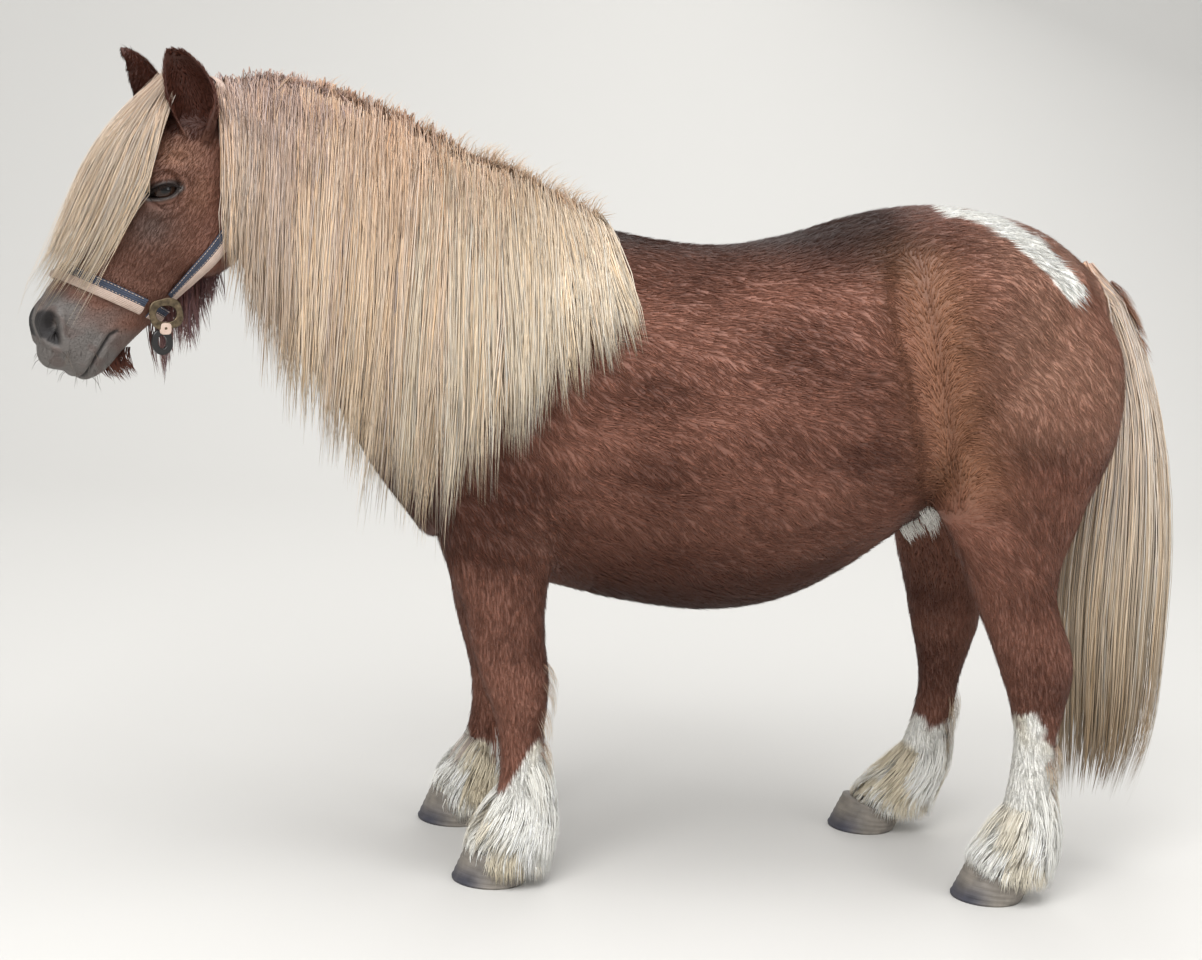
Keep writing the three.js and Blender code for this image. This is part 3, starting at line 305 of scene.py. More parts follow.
def loft(table, rings, sides, cap_start, cap_end, grow):
    """Points and faces of one closed tapering form through the sections of a table."""
    cap_rings = 4
    rows = rows_along(table, np.linspace(0, 1, rings + 1))
    angle = np.linspace(0, 2 * np.pi, sides, endpoint=False)

    def middle_of(r):
        return np.stack([(r[:, 0] + r[:, 2]) / 2, r[:, 5], (r[:, 1] + r[:, 3]) / 2], 1)

    def section(row, scale):
        reach = row[0:2] - row[2:4]
        up_way = np.array([reach[0], 0, reach[1]]) / np.hypot(*reach)
        power = 2 / row[7]
        rise = np.sign(np.cos(angle)) * np.abs(np.cos(angle)) ** power
        side = np.sign(np.sin(angle)) * np.abs(np.sin(angle)) ** power
        lift = (np.hypot(*reach) / 2 + grow) * scale * (rise - row[6] * (1 - rise * rise))
        points = middle_of(row[None])[0] + lift[:, None] * up_way
        points[:, 1] += side * (row[4] + grow) * scale
        return points

    ends = middle_of(rows_along(table, [0, 0.02, 0.98, 1]))
    caps = []
    for row, way, reach in ((0, ends[0] - ends[1], cap_start + grow), (-1, ends[3] - ends[2], cap_end + grow)):
        way = way / np.linalg.norm(way)
        turns = [math.pi / 2 * k / cap_rings for k in range(1, cap_rings)]
        caps.append(([section(rows[row], math.cos(turn)) + way * reach * math.sin(turn) for turn in turns],
                     middle_of(rows)[row] + way * reach))
    all_rings = caps[0][0][::-1] + [section(row, 1) for row in rows] + caps[1][0]
    count = len(all_rings)
    points = np.concatenate(all_rings + [np.array([caps[0][1], caps[1][1]])])
    faces = grid_faces(count, sides, True)
    last = (count - 1) * sides
    for s in range(sides):
        faces.append((count * sides, (s + 1) % sides, s))
        faces.append((count * sides + 1, last + s, last + (s + 1) % sides))
    return points, faces


def tilted(x, z, degrees):
    """Sizes along and across turned by `degrees` in the XZ plane, from +X towards +Z."""
    a = math.radians(degrees)
    return x * math.cos(a) - z * math.sin(a), x * math.sin(a) + z * math.cos(a)


def ball(centre, radii, tilt=0.0, grow=0.0, sides=24):
    """Points and faces of an ellipsoid, its X half size turned up from +X by `tilt` degrees."""
    rows = sides // 2
    theta = np.linspace(0, np.pi, rows + 1)[1:-1]
    phi = np.linspace(0, 2 * np.pi, sides, endpoint=False)
    grid = np.stack([
        np.outer(np.sin(theta), np.cos(phi)), np.outer(np.sin(theta), np.sin(phi)),
        np.outer(np.cos(theta), np.ones(sides))], 2).reshape(-1, 3)
    points = np.concatenate([grid, [(0, 0, 1), (0, 0, -1)]]) * (np.array(radii) + grow)
    x, z = tilted(points[:, 0], points[:, 2], tilt)
    points = np.stack([x, points[:, 1], z], 1) + np.array(centre)
    faces = [(a, d, c, b) for a, b, c, d in grid_faces(rows - 1, sides, True)]
    n = (rows - 1) * sides
    faces += [(n, s, (s + 1) % sides) for s in range(sides)]
    faces += [(n + 1, n - sides + (s + 1) % sides, n - sides + s) for s in range(sides)]
    return points, faces


HEAD_TURN = math.radians(25)
POLL = np.array((-775.0, 0.0, 1100.0))
POLL_SHIFT = -14.0


def turned(points):
    """Points of the head looking straight ahead, brought to the head's place, still in drawn millimetres."""
    p = np.asarray(points, float) - POLL
    c, s = math.cos(HEAD_TURN), math.sin(HEAD_TURN)
    x, y = p[..., 0] * c - p[..., 1] * s, p[..., 0] * s + p[..., 1] * c + POLL_SHIFT
    return np.stack([x, y, p[..., 2]], -1) + POLL


def unturned(points):
    """The way back from the head's place to the head's own frame."""
    p = np.asarray(points, float) - POLL
    y = p[..., 1] - POLL_SHIFT
    c, s = math.cos(HEAD_TURN), math.sin(HEAD_TURN)
    return np.stack([p[..., 0] * c + y * s, -p[..., 0] * s + y * c, p[..., 2]], -1) + POLL


def placed(points):
    """Drawn millimetres to the frame's metres."""
    return (np.asarray(points, float) + np.array((STANCE_X * 1000, 0, 0))) / 1000


def drawn(points):
    """The frame's metres to drawn millimetres."""
    return np.asarray(points, float) * 1000 - np.array((STANCE_X * 1000, 0, 0))


def select_only(piece):
    bpy.ops.object.select_all(action="DESELECT")
    piece.select_set(True)
    bpy.context.view_layer.objects.active = piece


def mesh_object(name, points, faces):
    """A new piece from points in drawn millimetres, left selected and active."""
    mesh = bpy.data.meshes.new(name)
    mesh.from_pydata(placed(points).tolist(), [], faces)
    mesh.validate()
    piece = bpy.data.objects.new(name, mesh)
    bpy.context.collection.objects.link(piece)
    select_only(piece)
    return piece


def joined(forms):
    """Points and faces of several forms, put into one list of each."""
    points, faces, start = [], [], 0
    for p, f in forms:
        points.append(p)
        faces += [tuple(i + start for i in face) for face in f]
        start += len(p)
    return np.concatenate(points), faces


BODY_FORMS = (  # table, how the far limb is moved along, rings, sides, and how far each end is rounded out
    (THIGH, NO_STEP, 20, 32, 50, 30), (SHOULDER, NO_STEP, 18, 32, 50, 30),
    (TORSO, None, 60, 64, 26, 40), (NECK, None, 40, 48, 20, 20),
    (FORELEG, FAR_FORE_STEP, 50, 32, 20, 12), (HINDLEG, FAR_HIND_STEP, 50, 32, 20, 12),
)
AXIS_TILT = 60  # degrees by which the line of the face stands up from level
FACE_SWELLS = (  # of the jaw's cheek, the brow, the nostril and the cheekbone: place, half sizes, tilt
    ((-806, 44, 900), (70, 38, 54), AXIS_TILT), ((-892, 54, 985), (34, 22, 14), 20),
    ((-1016, 31, 768), (32, 19, 19), AXIS_TILT + 10), ((-938, 26, 880), (62, 22, 22), AXIS_TILT),
)
LIP_SWELLS = (((-1002, 0, 732), (34, 42, 29), 50), ((-952, 0, 716), (26, 34, 22), 50))
skin_forms = []
for table, step, *sizes in BODY_FORMS:
    both = [table] if step is None else [table, far_side(table, step)]
    skin_forms += [loft(one, *sizes, -COAT) for one in both]
head_forms = [loft(SKULL, 60, 48, 20, 20, -FACE_COAT)]
for side in (-1, 1):
    head_forms += [ball((x, side * y, z), radii, tilt, -FACE_COAT) for (x, y, z), radii, tilt in FACE_SWELLS]
head_forms += [ball(*swell, -LIP_COAT) for swell in LIP_SWELLS]
skin_forms += [(turned(points), faces) for points, faces in head_forms]

hide = mesh_object("hide", *joined(skin_forms))


def finish_modifier(piece, kind, **settings):
    modifier = piece.modifiers.new(kind.lower(), kind)
    for key, value in settings.items():
        setattr(modifier, key, value)
    select_only(piece)
    bpy.ops.object.modifier_apply(modifier=modifier.name)


SKIN_GRID = 0.0062  # metres between the points of the skin before its head is cut finer
finish_modifier(hide, "REMESH", mode="VOXEL", voxel_size=SKIN_GRID)
finish_modifier(hide, "SMOOTH", factor=0.6, iterations=9)


def read_all(rows, name, kind=float, size=3):
    """One property of every row of a mesh, as an array."""
    values = np.empty(len(rows) * size, dtype=kind)
    rows.foreach_get(name, values)
    return values.reshape(-1, size)


def places_of(mesh):
    """Every vertex of a mesh in drawn millimetres."""
    return drawn(read_all(mesh.vertices, "co"))


def corners_of(mesh):
    mesh.calc_loop_triangles()
    return read_all(mesh.loop_triangles, "vertices", np.int32)


def refine(piece, chosen):
    """Cuts the faces of the chosen vertices in two each way."""
    mesh = piece.data
    both = chosen[read_all(mesh.edges, "vertices", np.int32, 2)].all(1)
    for name, count in (("vertices", len(mesh.vertices)), ("polygons", len(mesh.polygons))):
        getattr(mesh, name).foreach_set("select", np.zeros(count, dtype=bool))
    mesh.edges.foreach_set("select", both)
    select_only(piece)
    bpy.ops.object.mode_set(mode="EDIT")
    bpy.ops.mesh.select_mode(type="EDGE")
    bpy.ops.mesh.subdivide(number_cuts=1, smoothness=0.35)
    bpy.ops.object.mode_set(mode="OBJECT")


def smooth_step(a, b, x):
    """0 before a and 1 past b, with a soft rise between them."""
    t = np.clip((np.asarray(x, float) - a) / (b - a), 0, 1)
    return t * t * (3 - 2 * t)


def near_to(p, centre, radii, tilt=0.0):
    """1 at a centre and falling off around it, over an ellipsoid turned up from +X by `tilt` degrees."""
    d = p - np.array(centre)
    x, z = tilted(d[:, 0], d[:, 2], -tilt)
    return np.exp(-((x / radii[0]) ** 2 + (d[:, 1] / radii[1]) ** 2 + (z / radii[2]) ** 2))


def from_line(p, line):
    """Distance in the XZ plane from a line of (x, z) points, and how far along it the nearest place is."""
    line = np.array(line, float)
    best = np.full(len(p), 1e9)
    share = np.zeros(len(p))
    for i in range(len(line) - 1):
        a, b = line[i], line[i + 1]
        t = np.clip(((p[:, [0, 2]] - a) @ (b - a)) / ((b - a) @ (b - a)), 0, 1)
        d = np.linalg.norm(p[:, [0, 2]] - a - t[:, None] * (b - a), axis=1)
        nearer = d < best
        best[nearer] = d[nearer]
        share[nearer] = (i + t[nearer]) / (len(line) - 1)
    return best, share


EYE_SLOPE = math.radians(17)
EYE_HALF = 19.8  # half the length of the opening between the lids
EYE_UP, EYE_DOWN = 9.5, 8.0
LID_OUTER = 36.0
OPENING = (-3.2, -1.0)  # middle of the opening, from the middle of the eyeball, along it and up it
NOSTRIL = np.array((-1028.0, 42.0, 762.0))
NOSTRIL_TILT = 108
MOUTH = ((-988, 668), (-973, 700), (-966, 720), (-956, 738), (-945, 756), (-934, 762))


def nostril_reach(p, inner=27):
    """Below 1 inside the opening of the nostril on the point's own side, `inner` and more from the middle."""
    side = np.where(p[:, 1] < 0, -1, 1)
    along, across = tilted(p[:, 0] - NOSTRIL[0], p[:, 2] - NOSTRIL[2], -NOSTRIL_TILT)
    across = across + 0.010 * along * along
    reach = np.sqrt((along / 25) ** 2 + (across / (13 + 0.15 * along)) ** 2)
    reach += np.clip((inner - side * p[:, 1]) / 9, 0, 4)
    return np.where(p[:, 0] < -985, reach, 9.0)


RELIEF = (  # how far out, place, half sizes, tilt
    (3.0, (-894, 70, 981), (24, 16, 8), 12), (-4.5, (-862, 62, 1000), (16, 20, 11), 30),  # brow, hollow over it
    (3.0, (-917, 66, 912), (34, 16, 8), 62), (-4.0, (-892, 66, 915), (26, 20, 13), 60),  # crest of the cheek
    (-3.0, (-950, 48, 862), (30, 18, 12), 60), (2.5, (-975, 40, 765), (20, 20, 14), 60),  # side of the nose
    (3.0, (-1006, 40, 738), (20, 20, 12), 60), (2.0, (-836, 60, 870), (34, 20, 26), 60),  # upper lip, jaw
)


def face_relief(p):
    """How far each point of the head stands out from the plain skull, in the head's own frame."""
    out = np.zeros(len(p))
    for side in (-1, 1):
        for height, (x, y, z), radii, tilt in RELIEF:
            out += height * near_to(p, (x, side * y, z), radii, tilt)
    reach = nostril_reach(p)
    out += 2.6 * np.exp(-((reach - 1.3) / 0.35) ** 2)
    out -= 19.0 * smooth_step(1.1, 0.5, reach)
    gap, share = from_line(p, MOUTH)
    on_side = (np.abs(p[:, 1]) > 2) | (share < 0.5)
    fade = smooth_step(1.0, 0.9, share) * 0.7 + 0.3
    out -= 5.0 * np.exp(-(gap / 2.2) ** 2) * on_side * fade * (p[:, 0] > -1000)
    out += 2.0 * np.exp(-((gap - 8) / 5) ** 2) * on_side * fade * (p[:, 0] < -925)
    return out


def eye_frame(side):
    """Centre of an eyeball and its ways along the opening, up it and out of it, in the head's own frame."""
    along = np.array((math.cos(EYE_SLOPE), 0, math.sin(EYE_SLOPE)))
    out = np.array((-0.20, side * 0.97, -0.06))
    out = out - along * (out @ along)
    out /= np.linalg.norm(out)
    up_way = np.cross(along, out) * (1 if side > 0 else -1)
    return EYE_AT * (1, side, 1), along, up_way * np.sign(up_way[2]), out


local = unturned(places_of(hide.data))
refine(hide, local[:, 0] < -770)
local = unturned(places_of(hide.data))
finer = np.zeros(len(local), dtype=bool)
for side in (-1, 1):
    finer |= (np.linalg.norm(local - EYE_AT * (1, side, 1), axis=1) < 42)
finer |= (local[:, 0] < -925) & (local[:, 2] < 800)
refine(hide, finer)
local = unturned(places_of(hide.data))
normals = read_all(hide.data.vertices, "normal")
on_head = smooth_step(-765, -800, local[:, 0])
moved_out = places_of(hide.data) + normals * (face_relief(local) * on_head)[:, None]
for side in (-1, 1):
    centre, along, up_way, out = eye_frame(side)
    d = unturned(moved_out) - centre
    ring = np.hypot(d @ along, d @ up_way)
    facing = (d @ out > -6) & (ring < LID_OUTER + 8)
    sink = 9.0 * smooth_step(LID_OUTER - 6, 16, ring) * facing
    moved_out -= (turned(centre + out) - turned(centre)) * sink[:, None]
hide.data.vertices.foreach_set("co", placed(moved_out).ravel())
hide.data.update()


def tree_of(mesh):
    return BVHTree.FromPolygons(places_of(mesh).tolist(), corners_of(mesh).tolist())


# Lids and ears
# The lids are folds of skin that lie on the eyeball, their edges dark and bare and the lower one rimmed with
# grey. The ears are thin leaves of skin curled round their own length, and open forward and outward.
head_tree = tree_of(hide.data)
LID_COLUMNS = 72
LID_PROFILE = (  # from the lid's edge outwards: distance from the edge, and from the middle of the eyeball
    (-0.8, 18.4), (-0.2, 19.9), (0.0, 21.0), (0.6, 22.3), (2.0, 23.0), (4.4, 22.6), (5.4, 22.2), (7.5, 23.2),
    (11, 23.8),
)


def lid_patch(side):
    """A ring of skin from inside the lids' edge out to the head, on the eyeball all the way."""
    centre, along, up_way, out = eye_frame(side)
    angle = np.linspace(0, 2 * np.pi, LID_COLUMNS, endpoint=False)
    c, s = np.cos(angle), np.sin(angle)
    open_along = EYE_HALF * c
    open_up = np.where(s > 0, EYE_UP, EYE_DOWN) * np.sign(s) * np.abs(s) ** 1.15
    upper = s > 0
    length = np.hypot(open_along, open_up)
    points = []
    for off, radius in LID_PROFILE:
        u = open_along * (1 + off / np.maximum(length, 1)) + OPENING[0]
        v = open_up * (1 + off / np.maximum(length, 1)) + OPENING[1]
        fold = 0.9 * np.exp(-((off - 5.2) / 1.2) ** 2) * upper
        thick = np.where(upper, 1.1, 0.2) * (off > 0.1)
        r = radius + thick - fold
        depth = np.sqrt(np.maximum(r * r - u * u - v * v, 1.0))
        points.append(centre + np.outer(u, along) + np.outer(v, up_way) + np.outer(depth, out))
    points = [turned(p) for p in points]
    out_way = turned(centre + out) - turned(centre)
    ring0 = points[-1]
    for share in (0.3, 0.55, 0.8, 1.0, 1.12):
        reach = 16 + (LID_OUTER - 16) * share
        stretch = np.stack([reach * 1.12 * c, reach * 0.94 * s], 1)
        flat = turned(centre + np.outer(stretch[:, 0], along) + np.outer(stretch[:, 1], up_way))
        row = []
        for k in range(LID_COLUMNS):
            hit = head_tree.ray_cast(Vector(flat[k] + out_way * 70), Vector(-out_way))[0]
            on_skin = np.array(hit) if hit is not None else flat[k]
            on_ball = flat[k] + out_way * 18
            blend = float(smooth_step(0.15, 0.95, share))
            row.append(on_skin * blend + (on_ball * 0.35 + ring0[k] * 0.65) * (1 - blend)
                       - out_way * (3.0 if share > 1.05 else 0))
        points.append(np.array(row))
    for _ in range(2):
        for r in range(len(LID_PROFILE), len(points) - 2):
            points[r] = (points[r - 1] + 2 * points[r] + points[r + 1]) / 4
    faces = grid_faces(len(points), LID_COLUMNS, True)
    if side > 0:
        faces = [f[::-1] for f in faces]
    return np.concatenate(points), faces


EAR_AXIS = (  # centre, half width and half angle of the curl
    ((-826, 45, 1026), 20, 150), ((-829, 49, 1052), 28, 125), ((-837, 54, 1080), 36, 92),
    ((-849, 59, 1106), 34, 76), ((-861, 63, 1126), 27, 66), ((-871, 65, 1139), 19, 60),
    ((-877, 66, 1146), 9, 55),
)
FAR_EAR_LEAN = 22.0  # the far ear's tip is carried this much further forward
EAR_OPENING = np.array((-0.62, 0.78, 0.05))
EAR_THICKNESS = 2.6


def ear_leaf(side):
    """A curled leaf with an inner and an outer face along the ear's axis."""
    rows, columns = 18, 19
    share = np.linspace(0, 1, rows)
    at = np.linspace(0, 1, len(EAR_AXIS))
    axis = np.stack([np.interp(share, at, [e[0][k] for e in EAR_AXIS]) for k in range(3)], 1)
    half = np.interp(share, at, [e[1] for e in EAR_AXIS])
    curl = np.radians(np.interp(share, at, [e[2] for e in EAR_AXIS]))
    if side > 0:
        axis[:, 0] -= FAR_EAR_LEAN * share ** 1.3
    for _ in range(3):
        half[1:-1] = (half[:-2] + 2 * half[1:-1] + half[2:]) / 4
        axis[1:-1] = (axis[:-2] + 2 * axis[1:-1] + axis[2:]) / 4
    opening = EAR_OPENING / np.linalg.norm(EAR_OPENING)
    across = np.cross((0, 0, 1), opening)
    across /= np.linalg.norm(across)
    radius = half / np.sin(np.minimum(curl, np.pi / 2))
    layers = []
    for layer in (0, 1):
        grid = []
        for r in range(rows):
            theta = np.linspace(-1, 1, columns) * curl[r]
            rr = radius[r] - layer * EAR_THICKNESS * (1 - 0.5 * share[r])
            back = radius[r] * 0.75
            grid.append(axis[r] + np.outer(rr * np.sin(theta), across)
                        - np.outer(rr * np.cos(theta) - back, opening))
        layers.append(np.concatenate(grid))
    outer, inner = layers
    faces = grid_faces(rows, columns)
    count = rows * columns
    faces += [tuple(i + count for i in f[::-1]) for f in grid_faces(rows, columns)]
    border = [r * columns for r in range(rows)] + [count - columns + c for c in range(1, columns)]
    border += [r * columns + columns - 1 for r in range(rows - 2, -1, -1)] + list(range(columns - 2, 0, -1))
    for i, a in enumerate(border):
        b = border[(i + 1) % len(border)]
        faces.append((b, a, a + count, b + count))
    points = np.concatenate([outer, inner]) * (1, side, 1)
    return turned(points), faces if side > 0 else [f[::-1] for f in faces]


def face_outwards():
    """Turns the faces of the active piece outwards."""
    bpy.ops.object.mode_set(mode="EDIT")
    bpy.ops.mesh.select_all(action="SELECT")
    bpy.ops.mesh.normals_make_consistent(inside=False)
    bpy.ops.object.mode_set(mode="OBJECT")


mesh_object("lids_and_ears", *joined([lid_patch(-1), lid_patch(1), ear_leaf(-1), ear_leaf(1)]))
face_outwards()
hide.select_set(True)
bpy.context.view_layer.objects.active = hide
bpy.ops.object.join()
for polygon in hide.data.polygons:
    polygon.use_smooth = True
FLESH_NODES = [
    "torso", "neck", "head", "ear_left", "ear_right", "forearm_left", "forearm_right", "foreleg_left",
    "foreleg_right", "gaskin_left", "gaskin_right", "hindleg_left", "hindleg_right",
]
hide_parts(*FLESH_NODES)
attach(hide, "root")


# Markings, painted shade and painted light
# Coat and hide share one set of colours: pinkish chestnut on the body, darker on the head and legs, a white
# splash on the rump, four white socks, white in the groin, and a dark grey muzzle. Painted shade darkens the
# top of the back, the lower barrel, the belly, the hollow under each eye and the crease over it, and painted
# light makes the rump lighter and golder.
def ripple(p, scale, seed):
    """Smooth values between about -1 and 1 that wander over the body, `scale` millimetres to a wave."""
    draw = np.random.default_rng(seed)
    total = np.zeros(len(p))
    for _ in range(5):
        way = draw.normal(size=3)
        way /= np.linalg.norm(way)
        total += np.sin(p @ way * (2 * np.pi / (scale * draw.uniform(0.6, 1.6))) + draw.uniform(0, 6.28))
    return total / 2.6


CHESTNUT = np.array(linear(150, 101, 83))
CHESTNUT_DARK = np.array(linear(84, 47, 34))
CHESTNUT_GOLD = np.array(linear(180, 134, 112))
WHORL_BROWN = np.array(linear(146, 102, 70))
TEMPLE_BROWN = np.array(linear(158, 113, 86))
HEAD_RED = np.array(linear(127, 86, 70))
EAR_RED = np.array(linear(74, 37, 24))
WHITE_HAIR = np.array(linear(254, 252, 245))
STAINED_HAIR = np.array(linear(222, 206, 172))
NOSTRIL_DARK = np.array(linear(38, 34, 34))
LID_DARK = np.array(linear(46, 34, 30))
LID_GREY = np.array(linear(150, 142, 138))
MUZZLE_GREY = np.array(linear(112, 106, 102))


def mix(a, b, t):
    """Rows of colours or ways, carried from a to b by each row's share."""
    return a + (b - a) * np.asarray(t)[:, None]


FACE_PATCHES = (  # colour, share, place along and up the face, and half sizes of its soft patches
    (TEMPLE_BROWN, 0.5, -872, 1004, 36, 24), (TEMPLE_BROWN, 0.4, -832, 955, 26, 26),
    # the next two patches are painted shade: in the hollow under the eye, and along the crease over it
    (LID_GREY * 0.3, 0.55, -902, 908, 32, 30), (CHESTNUT_DARK, 0.55, -886, 984, 34, 8),
    (CHESTNUT_DARK, 0.4, -850, 972, 10, 18), (CHESTNUT_DARK, 0.4, -890, 850, 44, 26),
)
WHORL = ((560, 296), (640, 276), (740, 245), (850, 215), (960, 196))
RUMP_UPPER = ((281, 1011), (349, 1003), (412, 971), (464, 909))
RUMP_LOWER = ((300, 1004), (352, 974), (400, 939), (443, 898))
SOCK_TOPS = {"fore_left": 205, "fore_right": 135, "hind_left": 262, "hind_right": 180}


def down_face(local):
    """How far down the face from the top of the head, in the head's own frame."""
    return (local - np.array((-800, 0, 1100))) @ np.array((-0.5, 0, -0.866))


def coat_colour(p):
    """Linear colour of the coat at drawn points."""
    x, y, z = p[:, 0], p[:, 1], p[:, 2]
    colour = np.tile(CHESTNUT, (len(p), 1))
    patches = ripple(p, 210, 5) * 0.5 + ripple(p, 70, 6) * 0.35 + ripple(p, 24, 7) * 0.25
    patches += ripple(p, 11, 17) * 0.3
    colour = mix(colour, CHESTNUT_DARK, np.clip(0.24 + 0.5 * patches, 0, 0.85))
    # Painted shade: a dark band along the top of the back.
    spine = smooth_step(870, 950, z) * smooth_step(-320, -240, x) * (1 - smooth_step(150, 270, x))
    colour = mix(colour, CHESTNUT_DARK * 0.4, 0.97 * spine)
    # Painted shade: the lower barrel is darkened, as in the shade under the body.
    under = smooth_step(640, 470, z) * smooth_step(-320, -260, x) * (1 - smooth_step(120, 230, x))
    colour = mix(colour, CHESTNUT_DARK, 0.6 * under)
    # Painted light: the rump is made lighter and golder where the light falls on it.
    rump = smooth_step(240, 380, x) * smooth_step(640, 760, z)
    colour = mix(colour, CHESTNUT_GOLD, 0.85 * rump * np.clip(0.75 + 0.35 * patches, 0, 1))
    flank_x = line_at(WHORL, z)
    flank = np.exp(-((x - flank_x - 8) / 62) ** 2) * smooth_step(540, 640, z) * (1 - smooth_step(900, 990, z))
    colour = mix(colour, WHORL_BROWN, 0.6 * flank)
    colour = mix(colour, CHESTNUT_DARK, 0.35 * np.exp(-((x - flank_x) / 9) ** 2) * flank)
    # Painted shade: the belly is darkened further, in the shade under the body.
    belly = (1 - smooth_step(390, 540, z)) * smooth_step(365, 395, z) * smooth_step(-300, -200, x)
    colour = mix(colour, CHESTNUT_DARK * 0.8, 0.95 * belly * (1 - smooth_step(180, 300, x)))
    legs = (0.05 + 0.25 * (x > 0)) * (1 - smooth_step(330, 560, z)) * ((x < -180) | (x > 230))
    colour = mix(colour, CHESTNUT_DARK, legs)
    chest = smooth_step(-270, -380, x) * smooth_step(400, 520, z) * (1 - smooth_step(760, 920, z))
    colour = mix(colour, CHESTNUT_DARK, 0.86 * chest)
    head = smooth_step(-720, -790, x + 0.2 * (1100 - z) * (z < 1100))
    colour = mix(colour, HEAD_RED, head)
    lp = unturned(p)
    along = down_face(lp)
    for tint, share, x0, z0, wide, high in FACE_PATCHES:
        patch = np.exp(-((lp[:, 0] - x0) / wide) ** 2 - ((lp[:, 2] - z0) / high) ** 2)
        colour = mix(colour, tint, share * patch * head * (np.abs(lp[:, 1]) > 20))
    colour = mix(colour, EAR_RED, smooth_step(1018, 1048, z + 8 * ripple(p, 22, 31)) * head)
    muzzle = smooth_step(330, 385, along + 12 * ripple(p, 40, 9)) * head
    colour = mix(colour, MUZZLE_GREY, muzzle)
    colour = mix(colour, CHESTNUT_DARK, 0.3 * muzzle * smooth_step(0.1, 0.9, ripple(p, 26, 12)))
    nostril = smooth_step(1.06, 0.86, nostril_reach(lp, 8)) * head
    colour = mix(colour, NOSTRIL_DARK, nostril)
    gap, share = from_line(lp, MOUTH)
    lips = np.exp(-(gap / 2.4) ** 2) * (lp[:, 0] < -925) * (lp[:, 0] > -1000) * (lp[:, 2] < 772)
    colour = mix(colour, NOSTRIL_DARK, 0.85 * lips)
    for side in (-1, 1):
        centre, eye_along, eye_up, _ = eye_frame(side)
        d = lp - centre
        u, v = d @ eye_along - OPENING[0], d @ eye_up - OPENING[1]
        half_up = np.where(v > 0, EYE_UP, EYE_DOWN)
        reach = np.hypot(u / EYE_HALF, v / half_up)
        close = np.linalg.norm(d, axis=1) < 34
        colour = mix(colour, LID_DARK, smooth_step(1.9, 1.2, reach) * close)
        rim = 0.85 * np.exp(-((reach - 1.36) / 0.12) ** 2) * smooth_step(1, -2, v)
        colour = mix(colour, LID_GREY, rim * close)
    groin = np.exp(-(((x - 255) / 66) ** 2 + ((z - 488) / 40) ** 2)) * (np.abs(y) < 120)
    colour = mix(colour, WHITE_HAIR, smooth_step(0.45, 0.75, groin + 0.15 * ripple(p, 30, 3)))
    upper = line_at(RUMP_UPPER, x + 15) + 2
    lower = line_at(RUMP_LOWER, x + 15) - 8
    inside = np.minimum(upper - z, z - lower) + 5 * ripple(p, 26, 8)
    splash = smooth_step(-3, 3, inside) * (x > 252) * (x < 454) * (y < 20) * (y > -190)
    colour = mix(colour, WHITE_HAIR, splash)
    for leg, top in SOCK_TOPS.items():
        on_leg = (x < 0) if leg.startswith("fore") else (x > 150)
        on_leg = on_leg & ((y < 0) if leg.endswith("left") else (y > 0))
        edge = top + 14 * ripple(p, 36, len(leg) + top)
        if leg == "fore_left":
            edge = edge - 80 * smooth_step(-300, -340, x) * smooth_step(-118, -150, y)
        if leg == "hind_left":
            edge = edge + 30 * np.exp(-((x - 425) / 16) ** 2) - 18 * smooth_step(440, 470, x)
        sock = smooth_step(8, -8, z - edge) * on_leg
        colour = mix(colour, WHITE_HAIR, sock)
        stain = smooth_step(0.1, 1.0, ripple(p, 60, 14) + 0.7 * smooth_step(120, 40, z)) * sock
        colour = mix(colour, STAINED_HAIR, (0.5 if leg == "hind_left" else 0.75) * stain)
    return colour


# Short coat
# The short hair lies flat along the body, each clump of it a thin pointed tuft rooted in the hide: longer on
# the barrel and belly, shortest on the face. It runs back and down, and parts in a feathered line at the flank.
def skin_samples(mesh, count, weight_of, seed):
    """Random roots over a mesh: places in drawn millimetres, and normals."""
    points, normals, corners = places_of(mesh), read_all(mesh.vertices, "normal"), corners_of(mesh)
    a, b, c = (points[corners[:, k]] for k in range(3))
    weight = np.linalg.norm(np.cross(b - a, c - a), axis=1) * weight_of((a + b + c) / 3)
    draw = np.random.default_rng(seed)
    pick = np.searchsorted(np.cumsum(weight) / weight.sum(), (np.arange(count) + draw.random(count)) / count)
    pick = np.minimum(pick, len(corners) - 1)
    u, v = draw.random(count), draw.random(count)
    flip = u + v > 1
    u[flip], v[flip] = 1 - u[flip], 1 - v[flip]
    bary = np.stack([1 - u - v, u, v], 1)[:, :, None]
    place = (points[corners[pick]] * bary).sum(1)
    normal = (normals[corners[pick]] * bary).sum(1)
    return place, normal / np.linalg.norm(normal, axis=1)[:, None]


